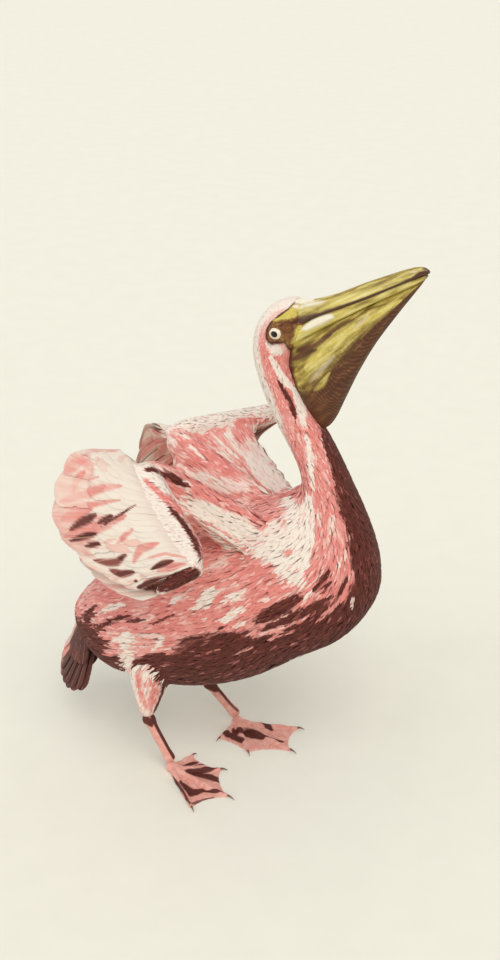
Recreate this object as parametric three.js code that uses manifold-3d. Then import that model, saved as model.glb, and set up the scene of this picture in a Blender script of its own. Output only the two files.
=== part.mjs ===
// A great white pelican standing with its bill raised and both wings half open.
// Millimetres, +X towards the breast, +Y to the bird's left, +Z up.
import * as THREE from "three";
import { mergeVertices } from "three/addons/utils/BufferGeometryUtils.js";
import Module from "manifold-3d";

const wasm = await Module();
wasm.setup();

const { degToRad: deg, smoothstep: smooth, lerp: mix } = THREE.MathUtils;
const point = (x, y, z) => new THREE.Vector3(x, y, z);
const UP = point(0, 0, 1);
const SIDEWAYS = point(0, 1, 0);

// ---------------------------------------------------------------- driving dimensions
const GAP = 0.35; // clear space between touching pieces
const BILL_LENGTH = 340; // forehead feathers to the tip of the nail
const BILL_PITCH = deg(31.2); // how far the bill is raised
const BILL_ROOT = [200, 1102]; // x and z where the line of the closed bill leaves the face
const HEAD_TURN = deg(-9); // towards the bird's right
const TURN_AXIS_X = 160; // the neck turns about this upright line
const TURN_FROM = 860; // height where the turn of the neck begins
const TURN_TO = 1060; // height where the head's full turn is reached
const EYE_RADIUS = 10.5;
const EYE_PLACE = [180, 37, 1107]; // the left eye, before the head is turned
const SHANK_RADIUS = 10.5;
const WEB_THICKNESS = 3.4;
const TOE_RADIUS = 6.5;
const CLAW_RADIUS = 3.4;
const TAIL_LENGTH = 226;
const TAIL_FEATHERS = 8;
const SECONDARIES = 8;
const PRIMARIES = 5;
const UNDER_FAN = 24; // how far the primaries lie beneath the secondaries

// ---------------------------------------------------------------- making solids
// A sphere's grid carried to pointAt(t, angle): t runs 0 to 1 from one end to the other and
// angle once round it, so the surface is closed wherever both ends shrink to a point.
function skinOf(sides, steps, pointAt) {
  const geometry = new THREE.SphereGeometry(1, sides, steps);
  const position = geometry.getAttribute("position");
  const row = sides + 1;
  for (let i = 0; i < position.count; i++) {
    const t = Math.floor(i / row) / steps;
    const angle = ((i % row) % sides) * ((2 * Math.PI) / sides);
    const p = pointAt(t, angle);
    position.setXYZ(i, p.x, p.y, p.z);
  }
  return solidOf(geometry);
}

// A three.js geometry as a manifold solid, turned outside out where a mapping reversed it.
function solidOf(geometry) {
  const bare = new THREE.BufferGeometry();
  bare.setAttribute("position", geometry.getAttribute("position"));
  bare.setIndex(geometry.getIndex());
  const merged = mergeVertices(bare, 1e-3);
  const vertProperties = new Float32Array(merged.attributes.position.array);
  const index = merged.index.array;
  const corners = [];
  for (let i = 0; i < index.length; i += 3) {
    const [a, b, c] = [index[i], index[i + 1], index[i + 2]];
    if (a !== b && b !== c && c !== a) corners.push(a, b, c);
  }
  const make = (triVerts) => new wasm.Manifold(new wasm.Mesh({ numProp: 3, vertProperties, triVerts }));
  const made = make(new Uint32Array(corners));
  return made.volume() > 0 ? made : make(new Uint32Array(corners).reverse());
}

// A solid's largest body as a three.js geometry.
function geometryOf(solid) {
  const bodies = solid.decompose();
  const body = bodies.reduce((a, b) => (b.volume() > a.volume() ? b : a));
  const mesh = body.getMesh();
  const geometry = new THREE.BufferGeometry();
  const places = new Float32Array(mesh.numVert * 3);
  for (let i = 0; i < mesh.numVert; i++) {
    const start = i * mesh.numProp;
    places.set(mesh.vertProperties.subarray(start, start + 3), i * 3);
  }
  geometry.setAttribute("position", new THREE.BufferAttribute(places, 3));
  geometry.setIndex(new THREE.BufferAttribute(mesh.triVerts, 1));
  geometry.computeVertexNormals();
  return geometry;
}

const curve = (points) => new THREE.CatmullRomCurve3(points, false, "catmullrom", 0.5);
const curveOf = (places) => curve(places.map((place) => point(...place)));
const between = (a, b, share) => a.map((value, i) => mix(value, b[i], share));
// The way that a sheet through three places faces.
const facing = (a, b, c) => new THREE.Plane().setFromCoplanarPoints(...[a, b, c].map((p) => point(...p))).normal;

// A round tube through places, its radius radiusAt(t), with rounded ends; flatten narrows it
// across the way that it bends.
function limb({ places, radiusAt, flatten }, sides, steps, grow = 0) {
  const line = curveOf(places);
  return skinOf(sides, steps, (t, angle) => {
    const centre = line.getPoint(t);
    const along = line.getTangent(t);
    if (t === 0 || t === 1) return centre.addScaledVector(along, t ? grow : -grow);
    const front = SIDEWAYS.clone().cross(along).normalize();
    const across = along.clone().cross(front);
    const radius = radiusAt(t) * Math.sqrt(1 - (2 * t - 1) ** 8) + grow;
    return centre
      .addScaledVector(front, radius * Math.cos(angle))
      .addScaledVector(across, radius * flatten * Math.sin(angle));
  });
}

// ---------------------------------------------------------------- body, neck and head
// Trunk, neck and head from the tail's root to the face, as sections that each join a point
// of the back outline to a point of the belly outline: back x, back z, belly x, belly z, half width.
const BODY = [
  [-330, 338, -308, 290, 16],
  [-316, 376, -280, 244, 58],
  [-268, 434, -210, 208, 100],
  [-178, 498, -106, 198, 130],
  [-66, 560, 4, 212, 148],
  [45, 628, 122, 256, 154],
  [130, 684, 236, 331, 146],
  [188, 722, 334, 396, 128],
  [226, 754, 394, 486, 102],
  [228, 790, 401, 566, 78],
  [214, 826, 379, 655, 61],
  [192, 862, 342, 744, 53],
  [167, 902, 302, 830, 47],
  [146, 946, 262, 902, 43],
  [127, 995, 228, 962, 41],
  [115, 1046, 206, 1016, 42],
  [118, 1092, 204, 1050, 44],
  [134, 1131, 212, 1068, 44],
  [158, 1158, 222, 1080, 39],
  [184, 1172, 234, 1094, 33],
  [208, 1177, 244, 1112, 25],
  [226, 1164, 244, 1132, 12],
];

const BODY_FULLNESS = 0.8; // 1 makes elliptic sections, less makes them squarer

// The head looks aside: points turn about an upright line, more the higher up the neck they are.
function lookAside(p) {
  const axis = point(TURN_AXIS_X, 0, 0);
  const angle = HEAD_TURN * smooth(p.z, TURN_FROM, TURN_TO);
  return p.sub(axis).applyAxisAngle(UP, angle).add(axis);
}

// Rounded sections that stand on pairs of outline points in the middle plane, as wide as each
// row says.
function sectionLoft(rows, fullness, sides, steps, grow = 0) {
  const back = curve(rows.map(([x, z]) => point(x, 0, z)));
  const belly = curve(rows.map(([, , x, z]) => point(x, 0, z)));
  const width = curve(rows.map((row, i) => point(i, row[4], 0)));
  return skinOf(sides, steps, (t, angle) => {
    const a = back.getPoint(t);
    const centre = a.clone().add(belly.getPoint(t)).multiplyScalar(0.5);
    if (t === 0 || t === 1) return lookAside(centre);
    const half = a.sub(centre);
    half.setLength((half.length() + grow) * Math.cos(angle));
    const swing = Math.sign(Math.sin(angle)) * Math.abs(Math.sin(angle)) ** fullness;
    const wide = (width.getPoint(t).y + grow) * swing;
    return lookAside(centre.add(half).add(point(0, wide, 0)));
  });
}

const body = (grow = 0) => sectionLoft(BODY, BODY_FULLNESS, 16, 34, grow);

// Thin cuts that part the body: x and z in the middle plane, and the way that the body runs there.
const NECK_BASE = [300, 668, deg(68)];
const NECK_MIDDLE = [225, 862, deg(118)];
const THROAT = [160, 1010, deg(92)];

// Everything on one side of a cut, half a gap away from it.
function beyond([x, z, pitch], side) {
  const size = 3000;
  const box = new THREE.BoxGeometry(size, size, size);
  box.translate((side * (size + GAP)) / 2, 0, 0);
  box.rotateY(-pitch);
  box.translate(x, 0, z);
  return solidOf(box);
}

function eye(side, grow = 0) {
  const centre = lookAside(point(EYE_PLACE[0], side * EYE_PLACE[1], EYE_PLACE[2]));
  const ball = new THREE.SphereGeometry(EYE_RADIUS + grow, 10, 7);
  ball.translate(centre.x, centre.y, centre.z);
  return solidOf(ball);
}

// ---------------------------------------------------------------- bill and pouch
// A point in the bill's own plane before the head turns: along it, and above the line where it closes.
function billLine(along, above) {
  const c = Math.cos(BILL_PITCH);
  const s = Math.sin(BILL_PITCH);
  return [BILL_ROOT[0] + along * c - above * s, BILL_ROOT[1] + along * s + above * c];
}

// Sections along the bill: share of its length, underside, top, half width.
const UPPER_BILL = [
  [-0.12, -2, 20, 10],
  [-0.06, -7, 40, 24],
  [0.02, -9, 54, 28],
  [0.11, -9, 48, 27],
  [0.22, -8, 38, 24],
  [0.4, -7, 29, 21],
  [0.6, -7, 22, 19.5],
  [0.78, -7, 18, 20],
  [0.89, -8, 15, 18.5],
  [0.95, -11, 12, 12],
  [0.985, -19, 5, 6],
  [1.0, -22, -8, 2.5],
];
const LOWER_BILL = [
  [-0.1, -16, -6, 14],
  [-0.02, -24, -6, 26],
  [0.1, -22, -7, 26],
  [0.3, -19, -6, 22.5],
  [0.6, -16, -6, 19],
  [0.85, -15, -7, 17],
  [0.93, -14, -8, 11],
  [0.965, -13, -9, 4],
];

function mandible(rows, sides, steps, grow = 0) {
  const line = curve(rows.map(([share, low]) => point(share * BILL_LENGTH, low, 0)));
  const top = curve(rows.map(([, , high, half]) => point(high, half, 0)));
  return skinOf(sides, steps, (t, angle) => {
    const { x: along, y: low } = line.getPoint(t);
    const { x: high, y: half } = top.getPoint(t);
    const end = t === 0 || t === 1;
    const reach = along + (end ? grow * Math.sign(t - 0.5) : 0);
    const rise = end ? 0 : ((high - low) / 2 + grow) * Math.cos(angle);
    const across = end ? 0 : (half + grow) * Math.sin(angle);
    const [x, z] = billLine(reach, (high + low) / 2 + rise);
    return lookAside(point(x, across, z));
  });
}

// The pouch hangs from the lower bill to the throat: share of the bill's length where the
// section's top is, then the x and z of its lowest point, and half its width.
const POUCH_TOP = -15; // below the line of the closed bill
const POUCH = [
  [0.955, 494, 1262, 2],
  [0.9, 468, 1230, 9],
  [0.76, 427, 1170, 16],
  [0.58, 385, 1104, 23],
  [0.4, 350, 1036, 29],
  [0.22, 320, 970, 32],
  [0.06, 299, 922, 32],
  [-0.04, 281, 896, 28],
  [-0.1, 260, 888, 18],
  [-0.14, 236, 888, 6],
];

function pouch() {
  const rows = POUCH.map(([share, ...low]) => [...billLine(share * BILL_LENGTH, POUCH_TOP), ...low]);
  return sectionLoft(rows, 1, 10, 15);
}

// ---------------------------------------------------------------- tail
const TAIL_ROOT = [-276, -6, 330];
const TAIL_DROP = deg(62); // the way the tail hangs, below the level
const TAIL_SPREAD = deg(24); // each way from the middle feather
const TAIL_TWIST = deg(-38); // the fan's underside turns to the bird's right

// A fan of feathers, notched between them: thick at the root, thin at the tips, curved across.
function tail() {
  const place = new THREE.Matrix4()
    .makeTranslation(...TAIL_ROOT)
    .multiply(new THREE.Matrix4().makeRotationY(Math.PI - TAIL_DROP))
    .multiply(new THREE.Matrix4().makeRotationX(TAIL_TWIST));
  return skinOf(6, TAIL_FEATHERS * 3, (t, angle) => {
    const side = 2 * t - 1;
    const end = t === 0 || t === 1;
    const notch = Math.abs(Math.sin(t * TAIL_FEATHERS * Math.PI));
    const reach = (TAIL_LENGTH - 46 * side * side) * mix(0.955, 1, notch);
    const along = end ? 0.5 : 0.5 - 0.5 * Math.cos(angle);
    const thick = end ? 0 : mix(56, 2.6, along ** 0.6) * Math.sin(angle);
    const distance = mix(4, reach, along);
    const turn = side * TAIL_SPREAD;
    const arch = 18 * side * side * along;
    return point(distance * Math.cos(turn), distance * Math.sin(turn) + side * 20, arch + thick).applyMatrix4(place);
  });
}

// ---------------------------------------------------------------- legs
// Each leg: the thigh's top, the hock and the ankle, and the way that the middle toe points.
const LEGS = {
  right: { hip: [-108, -82, 304], hock: [-116, -106, 137], ankle: [-54, -112, 26], heading: deg(-19) },
  left: { hip: [-46, 84, 290], hock: [-44, 108, 112], ankle: [36, 112, 28], heading: deg(-22) },
};

function thigh({ hip, hock }, grow = 0) {
  const places = [hip, between(hip, hock, 0.5), hock];
  return limb({ places, radiusAt: (t) => mix(74, 17, t ** 0.8), flatten: 0.9 }, 12, 9, grow);
}

// The bare part of the leg, with a knob at the hock and at the ankle.
function shank({ hock, ankle }, grow = 0) {
  const top = [hock[0] - 3, hock[1], hock[2] + 12];
  const knob = (t, at, wide) => Math.exp(-(((t - at) / wide) ** 2));
  const radiusAt = (t) => SHANK_RADIUS + 5 * knob(t, 0.12, 0.1) + 4 * knob(t, 0.95, 0.12);
  return limb({ places: [top, between(top, ankle, 0.5), ankle], radiusAt, flatten: 0.82 }, 8, 11, grow);
}

// Toes: turn from the middle one (positive is away from the body), length, and the claw's share.
const TOES = {
  outer: { turn: deg(33), length: 168, claw: 15 },
  middle: { turn: 0, length: 188, claw: 17 },
  inner: { turn: deg(-37), length: 134, claw: 15 },
  hind: { turn: deg(-86), length: 88, claw: 13 },
};

const toeEnd = (toe) => toe.length - toe.claw;

// A point along a toe, across it and above the ground; side is -1 for the right foot.
function toePoint({ leg, side }, toe, along, across, height) {
  const turn = leg.heading + side * toe.turn;
  const way = point(Math.cos(turn), Math.sin(turn), 0);
  const place = point(leg.ankle[0], leg.ankle[1], Math.max(0, height));
  return place.addScaledVector(way, along).addScaledVector(way.cross(UP), across);
}

// A tapering rod with swollen joints, flat where it meets the ground.
function toeRod(foot, toe) {
  return skinOf(6, 5, (t, angle) => {
    const end = t === 0 || t === 1;
    const swell = 1 + 0.14 * Math.cos(t * 6 * Math.PI) * smooth(t, 0.15, 0.4);
    const radius = end ? 0 : TOE_RADIUS * mix(1.4, 0.64, t) * swell;
    const middle = TOE_RADIUS * mix(1.9, 0.66, smooth(t, 0, 0.3));
    return toePoint(foot, toe, t * toeEnd(toe), radius * Math.cos(angle), middle + radius * Math.sin(angle));
  });
}

// The webs fill the corners between neighbouring toes with a sheet that lies on the ground.
function web(foot) {
  const toes = ["hind", "inner", "middle", "outer"].map((name) => TOES[name]);
  const start = toePoint(foot, TOES.middle, -2, 0, 0);
  const ends = toes.map((toe) => toePoint(foot, toe, toeEnd(toe), 0, 0));
  const outline = new THREE.Shape();
  outline.moveTo(start.x, start.y);
  outline.lineTo(ends[0].x, ends[0].y);
  for (let i = 1; i < ends.length; i++) {
    const dip = ends[i - 1].clone().lerp(ends[i], 0.5).lerp(start, 0.16);
    outline.quadraticCurveTo(dip.x, dip.y, ends[i].x, ends[i].y);
  }
  outline.closePath();
  const options = { depth: WEB_THICKNESS, bevelEnabled: false, curveSegments: 3 };
  const sheet = new THREE.ExtrudeGeometry(outline, options);
  sheet.deleteAttribute("normal");
  sheet.deleteAttribute("uv");
  return solidOf(mergeVertices(sheet, 1e-3));
}

function footOf(foot) {
  const { ankle } = foot.leg;
  const knuckle = skinOf(6, 5, (t, angle) => {
    const ring = 14 * Math.sin(t * Math.PI);
    const height = Math.max(0, 12 - 14 * Math.cos(t * Math.PI));
    return point(ankle[0] + ring * Math.cos(angle), ankle[1] + ring * Math.sin(angle), height);
  });
  const rods = Object.values(TOES).map((toe) => toeRod(foot, toe));
  return rods.reduce((all, rod) => all.add(rod), web(foot).add(knuckle));
}

function claw(foot, toe, grow = 0) {
  return skinOf(6, 5, (t, angle) => {
    const end = t === 0 || t === 1;
    const radius = end ? 0 : mix(CLAW_RADIUS, 1, t) + grow;
    const along = mix(toeEnd(toe) - 4 - grow, toe.length + grow, t);
    const height = mix(4.8, 1.6, t * t) + radius * Math.sin(angle);
    return toePoint(foot, toe, along, radius * Math.cos(angle), height);
  });
}

// ---------------------------------------------------------------- wings
// Each wing's joints, the front edge of the skin fold that spans the bent arm, and the tips of
// its long feathers from behind the elbow to the end of the hand.
const WINGS = {
  right: {
    shoulder: [190, -34, 580],
    elbow: [-86, -165, 822],
    wrist: [108, -328, 706],
    hand: [14, -344, 628],
    foldEdge: [[176, -104, 590], [60, -150, 690], [-4, -196, 744], [40, -264, 736], [100, -318, 712]],
    tips: [
      [-146, -172, 858],
      [-224, -200, 850],
      [-262, -228, 774],
      [-246, -262, 694],
      [-174, -290, 642],
      [-88, -318, 620],
      [-40, -332, 618],
    ],
    handTips: [
      [-212, -268, 640],
      [-158, -294, 612],
      [-96, -320, 600],
      [-34, -344, 606],
    ],
    back: [[150, -10, 680], [20, -30, 606], [-110, -40, 536]],
    outward: point(-0.1, -0.82, 0.56),
  },
  left: {
    shoulder: [190, 34, 590],
    elbow: [-146, 160, 746],
    wrist: [112, 306, 788],
    hand: [24, 370, 722],
    foldEdge: [[224, 30, 700], [122, 166, 706], [56, 220, 750], [70, 262, 776], [112, 306, 790]],
    tips: [
      [-214, 158, 746],
      [-246, 190, 646],
      [-270, 270, 566],
      [-214, 346, 546],
      [-124, 390, 562],
      [-46, 406, 608],
    ],
    handTips: [
      [-214, 300, 520],
      [-164, 344, 506],
      [-100, 378, 520],
      [-44, 396, 556],
    ],
    back: [[150, 10, 680], [20, 30, 606], [-110, 40, 536]],
    outward: point(-0.2, 0.45, 0.86),
  },
};

// A flat blade between a leading and a trailing edge: thick along the first, thin along the
// second, bulging by crown between them, and notched between its feathers if it has any.
function blade({ leading, trailing, outward, thick, thin, crown, feathers }, steps, grow = 0) {
  const lead = curveOf(leading);
  const trail = curveOf(trailing);
  const normal = outward.clone().normalize();
  return skinOf(6, steps, (t, angle) => {
    const end = t === 0 || t === 1;
    const along = end ? 0.5 : 0.5 - 0.5 * Math.cos(angle);
    const notch = feathers ? Math.abs(Math.sin(t * feathers * Math.PI)) : 1;
    const from = lead.getPoint(t);
    const chord = trail.getPoint(t).sub(from);
    const reach = chord.length() * along * (along > 0.5 ? mix(0.945, 1, notch) : 1);
    const depth = end ? 0 : (mix(thick, thin, Math.sqrt(along)) / 2 + grow) * Math.sin(angle);
    return from
      .addScaledVector(chord.normalize(), reach + (2 * along - 1) * grow)
      .addScaledVector(normal, depth + crown * 4 * along * (1 - along));
  });
}

function upperArm({ shoulder, elbow }, grow = 0) {
  const places = [shoulder, between(shoulder, elbow, 0.5), elbow];
  return limb({ places, radiusAt: (t) => mix(70, 38, t), flatten: 0.56 }, 10, 9, grow);
}

function forearm({ elbow, wrist }, grow = 0) {
  const places = [elbow, between(elbow, wrist, 0.5), wrist];
  return limb({ places, radiusAt: (t) => mix(34, 24, t), flatten: 0.8 }, 10, 9, grow);
}

function hand({ wrist, hand: tip }, grow = 0) {
  const places = [wrist, between(wrist, tip, 0.5), tip];
  return limb({ places, radiusAt: (t) => mix(24, 12, t), flatten: 0.8 }, 10, 6, grow);
}

function fold({ shoulder, elbow, wrist, foldEdge }, grow = 0) {
  const outward = facing(shoulder, elbow, wrist);
  const trailing = [shoulder, between(shoulder, elbow, 0.5), elbow, between(elbow, wrist, 0.5), wrist];
  return blade({ leading: foldEdge, trailing, outward, thick: 18, thin: 22, crown: 0 }, 12, grow);
}

// The long shoulder feathers that roof the space between the upper arm and the back.
function scapulars({ shoulder, elbow, back }, grow = 0) {
  const outward = facing(shoulder, elbow, back[1]);
  const leading = [between(shoulder, elbow, 0.25), between(shoulder, elbow, 0.6), between(shoulder, elbow, 0.93)];
  return blade({ leading, trailing: back, outward, thick: 34, thin: 26, crown: 0 }, 10, grow);
}

function secondaries({ elbow, wrist, tips, outward }, grow = 0) {
  const leading = [0, 0.25, 0.5, 0.75, 0.95, 1].map((share) => between(elbow, wrist, share));
  const edges = { leading, trailing: tips, outward, feathers: SECONDARIES };
  return blade({ ...edges, thick: 44, thin: 5, crown: 16 }, SECONDARIES * 3, grow);
}

// The primaries fold in under the secondaries.
function primaries({ wrist, hand: tip, handTips, outward }, grow = 0) {
  const under = outward.clone().setLength(-UNDER_FAN).toArray();
  const below = (place) => place.map((value, i) => value + under[i]);
  const leading = [0.3, 0.55, 0.8, 1].map((share) => below(between(wrist, tip, share)));
  const edges = { leading, trailing: handTips.map(below), outward, feathers: PRIMARIES };
  return blade({ ...edges, thick: 16, thin: 5, crown: 2 }, PRIMARIES * 3, grow);
}

// ---------------------------------------------------------------- assembly
const finish = (color, roughness) => new THREE.MeshStandardMaterial({ color, roughness, metalness: 0 });
const FINISH = {
  plumage: finish(0xe9a596, 0.85),
  quill: finish(0x4a2a22, 0.7),
  bill: finish(0xb59a3c, 0.45),
  pouch: finish(0xc2a044, 0.5),
  leg: finish(0xdf8f84, 0.6),
  claw: finish(0x3a241e, 0.4),
  eye: finish(0x2a1710, 0.1),
};

const bird = new THREE.Group();

// Adds a piece, cut by the grown copies of what it meets.
function add(name, look, solid, ...cutters) {
  const whole = cutters.reduce((left, cutter) => left.subtract(cutter), solid);
  const mesh = new THREE.Mesh(geometryOf(whole), FINISH[look]);
  mesh.name = name;
  bird.add(mesh);
}

const core = body();
const grownCore = body(GAP);
add("trunk", "plumage", core.intersect(beyond(NECK_BASE, -1)));
add("neck_lower", "plumage", core.intersect(beyond(NECK_BASE, 1)).intersect(beyond(NECK_MIDDLE, -1)));
add("neck_upper", "plumage", core.intersect(beyond(NECK_MIDDLE, 1)).intersect(beyond(THROAT, -1)));
add("head", "plumage", core.intersect(beyond(THROAT, 1)), eye(1, GAP), eye(-1, GAP));
add("eye_left", "eye", eye(1));
add("eye_right", "eye", eye(-1));

const grownUpper = mandible(UPPER_BILL, 10, 22, GAP);
const grownLower = mandible(LOWER_BILL, 8, 12, GAP);
add("upper_bill", "bill", mandible(UPPER_BILL, 10, 22), grownCore);
add("lower_bill", "bill", mandible(LOWER_BILL, 8, 12), grownCore, grownUpper);
add("pouch", "pouch", pouch(), grownCore, grownUpper, grownLower);
add("tail", "quill", tail(), grownCore);

for (const [name, side] of [["right", -1], ["left", 1]]) {
  const leg = LEGS[name];
  const foot = { leg, side };
  const grownClaws = Object.values(TOES).map((toe) => claw(foot, toe, GAP));
  add(`thigh_${name}`, "plumage", thigh(leg), grownCore);
  add(`shank_${name}`, "leg", shank(leg), grownCore, thigh(leg, GAP));
  add(`foot_${name}`, "leg", footOf(foot), shank(leg, GAP), ...grownClaws);
  for (const [toeName, toe] of Object.entries(TOES)) {
    add(`claw_${toeName}_${name}`, "claw", claw(foot, toe));
  }

  const wing = WINGS[name];
  const arm = [grownCore, upperArm(wing, GAP), forearm(wing, GAP), hand(wing, GAP)];
  add(`wing_${name}_upper_arm`, "plumage", upperArm(wing), grownCore);
  add(`wing_${name}_forearm`, "plumage", forearm(wing), ...arm.slice(0, 2));
  add(`wing_${name}_hand`, "plumage", hand(wing), ...arm.slice(0, 3));
  add(`wing_${name}_fold`, "plumage", fold(wing), ...arm);
  const before = [...arm, fold(wing, GAP)];
  add(`wing_${name}_scapulars`, "plumage", scapulars(wing), ...before);
  before.push(scapulars(wing, GAP));
  add(`wing_${name}_secondaries`, "plumage", secondaries(wing), ...before);
  add(`wing_${name}_primaries`, "quill", primaries(wing), ...before, secondaries(wing, GAP));
}

// The origin is on the floor, under the middle of the whole bird.
const box = new THREE.Box3().setFromObject(bird);
const middle = box.getCenter(point(0, 0, 0));
bird.position.set(-middle.x, -middle.y, -box.min.z);

export default bird;
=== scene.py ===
"""Great white pelican: skin, plumage, bill, legs and a plain stage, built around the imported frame."""
import functools
import math

import bmesh
import bpy
import numpy as np
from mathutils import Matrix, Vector


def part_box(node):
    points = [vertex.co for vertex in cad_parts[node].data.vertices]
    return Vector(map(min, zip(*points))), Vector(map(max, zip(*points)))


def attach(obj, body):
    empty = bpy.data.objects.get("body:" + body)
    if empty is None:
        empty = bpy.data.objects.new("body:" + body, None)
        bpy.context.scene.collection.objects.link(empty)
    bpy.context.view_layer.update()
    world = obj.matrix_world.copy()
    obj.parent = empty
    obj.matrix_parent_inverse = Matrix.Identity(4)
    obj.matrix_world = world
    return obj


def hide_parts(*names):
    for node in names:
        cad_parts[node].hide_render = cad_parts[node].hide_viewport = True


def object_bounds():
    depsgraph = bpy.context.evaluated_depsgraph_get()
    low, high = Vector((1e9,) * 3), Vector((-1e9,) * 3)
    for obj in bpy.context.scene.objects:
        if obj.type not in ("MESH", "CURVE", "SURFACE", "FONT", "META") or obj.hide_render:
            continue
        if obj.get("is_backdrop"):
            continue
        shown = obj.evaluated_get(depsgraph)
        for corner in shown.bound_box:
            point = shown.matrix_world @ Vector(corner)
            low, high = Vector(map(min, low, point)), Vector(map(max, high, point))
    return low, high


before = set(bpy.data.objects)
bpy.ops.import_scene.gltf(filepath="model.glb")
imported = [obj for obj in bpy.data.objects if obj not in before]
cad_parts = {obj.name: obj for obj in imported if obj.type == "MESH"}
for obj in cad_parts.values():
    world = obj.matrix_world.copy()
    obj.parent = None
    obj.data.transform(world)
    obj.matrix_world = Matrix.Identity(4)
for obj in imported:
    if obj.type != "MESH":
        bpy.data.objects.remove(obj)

cad_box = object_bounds()

bl_info = {
    "name": "Great White Pelican",
    "version": (1, 0, 0),
    "blender": (4, 5, 0),
    "location": "View3D > Sidebar > Pelican",
    "description": "Builds a standing great white pelican with rosy plumage from numpy surfaces",
    "category": "Add Mesh",
}

BODY_NAME = "root"

# ---------------------------------------------------------------- measures
# Millimetres in the bird's own axes: +X towards the breast, +Y to its left, +Z up.
BILL_LENGTH = 340.0
BILL_PITCH = math.radians(31.2)
BILL_ROOT = (200.0, 1102.0)
HEAD_TURN = math.radians(-9)
TURN_AXIS_X = 160.0
TURN_FROM, TURN_TO = 860.0, 1060.0
EYE_RADIUS = 10.5
EYE_PLACE = (180.0, 37.0, 1107.0)
# What the camera looks at, in metres in the bird's axes.
AIM = (0.105, 0.0, 0.742)

# Trunk, neck and head from the tail's root to the face: back x, back z, belly x, belly z, half width.
BODY = np.array([
    (-330, 338, -308, 290, 16), (-316, 376, -280, 244, 58), (-268, 434, -210, 208, 100),
    (-178, 498, -106, 198, 130), (-66, 560, 4, 212, 148), (45, 628, 122, 256, 154),
    (130, 684, 236, 331, 146), (188, 722, 334, 396, 128), (226, 754, 394, 486, 102),
    (228, 790, 401, 566, 78), (214, 826, 379, 655, 61), (192, 862, 342, 744, 53),
    (167, 902, 302, 830, 47), (146, 946, 262, 902, 43), (127, 995, 228, 962, 41),
    (115, 1046, 206, 1016, 42), (118, 1092, 204, 1050, 44), (134, 1131, 212, 1068, 44),
    (158, 1158, 222, 1080, 39), (184, 1172, 234, 1094, 33), (208, 1177, 244, 1112, 25),
    (226, 1164, 244, 1132, 12)], float)
BODY_FULLNESS = 0.8
# How deep the coat lies over the skin, at even steps from the tail's root to the face.
COAT_DEPTH = np.array([5, 8, 9, 10, 10, 9, 7, 5, 4.2, 3.4, 2.2, 1.6, 1.2], float)[:, None]


def smooth(x, low, high):
    """Hermite step: 0 below low, 1 above high, 3x^2 - 2x^3 between them."""
    x = np.clip((x - low) / (high - low), 0, 1)
    return x * x * (3 - 2 * x)


def mix(a, b, share):
    """A straight blend from a to b."""
    return a + (b - a) * share


def unit(v):
    """Vectors brought to length 1."""
    return v / np.maximum(np.linalg.norm(v, axis=-1, keepdims=True), 1e-9)


def dot(a, b):
    """The scalar product along the last axis, kept as a column."""
    return np.sum(a * b, axis=-1, keepdims=True)


def spline(rows, t):
    """A Catmull-Rom curve through evenly spaced rows, running on straight past both ends.

    Between rows b and c, with neighbours a and d, it is the cubic whose slope at b is half of
    c - a and at c half of d - b; the row before the first mirrors the second, and the row
    after the last mirrors the one before it.
    """
    rows = np.asarray(rows, float)
    padded = np.vstack([2 * rows[0] - rows[1], rows, 2 * rows[-1] - rows[-2]])
    wanted = np.asarray(t, float) * (len(rows) - 1)
    place = np.clip(wanted, 0, len(rows) - 1)
    first = np.minimum(place.astype(int), len(rows) - 2)
    f = (place - first)[..., None]
    a, b, c, d = (padded[first + k] for k in range(4))
    value = b + 0.5 * f * (c - a + f * (2 * a - 5 * b + 4 * c - d + f * (3 * (b - c) + d - a)))
    slope = 0.5 * (c - a) + f * (2 * a - 5 * b + 4 * c - d) + 1.5 * f * f * (3 * (b - c) + d - a)
    return value + (wanted - place)[..., None] * slope


def noise(u, v, seed=0):
    """Value noise from 0 to 1: a hashed number at each whole (u, v), blended by smoothsteps."""
    iu, iv = np.floor(u), np.floor(v)
    fu, fv = smooth(u - iu, 0, 1), smooth(v - iv, 0, 1)

    def corner(du, dv):
        wave = np.sin((iu + du) * 127.1 + (iv + dv) * 311.7 + seed * 74.7) * 43758.5453
        return wave - np.floor(wave)

    return mix(mix(corner(0, 0), corner(1, 0), fu), mix(corner(0, 1), corner(1, 1), fu), fv)


def look_aside(p, by=HEAD_TURN):
    """Turns points about the neck's upright line, by a share of the head's turn that grows with height."""
    turn = by * smooth(p[..., 2], TURN_FROM, TURN_TO)
    x, y = p[..., 0] - TURN_AXIS_X, p[..., 1]
    c, s = np.cos(turn), np.sin(turn)
    return np.stack([TURN_AXIS_X + x * c - y * s, x * s + y * c, p[..., 2]], axis=-1)


EYE_BOX = np.array(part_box("eye_left"))
SHIFT = EYE_BOX.mean(axis=0) - look_aside(np.array(EYE_PLACE)) / 1000


def metres(p):
    """Bird millimetres to metres in the frame."""
    return np.asarray(p) / 1000 + SHIFT


# ---------------------------------------------------------------- surfaces
# Each is a function of t, from 0 at one end to 1 at the other, an angle once round, both of one
# shape, and a rise along the outward way, so that inset skins follow the same surface.
def section_loft(rows, fullness, t, angle, rise=0.0):
    """Sections on pairs of outline points in the middle plane.

    Centre + half the line between the pair times cos(angle), sideways the half width times
    |sin(angle)|^fullness, then turned with the head.
    """
    row = spline(rows, t)
    back, belly, wide = row[..., 0:2], row[..., 2:4], row[..., 4]
    centre, half = (back + belly) / 2, (back - belly) / 2
    length = np.linalg.norm(half, axis=-1)
    along = ((length + rise) / np.maximum(length, 1e-6) * np.cos(angle))[..., None]
    swing = np.sign(np.sin(angle)) * np.abs(np.sin(angle)) ** fullness
    flat = centre + half * along
    return look_aside(np.stack([flat[..., 0], (wide + rise) * swing, flat[..., 1]], axis=-1))


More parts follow.
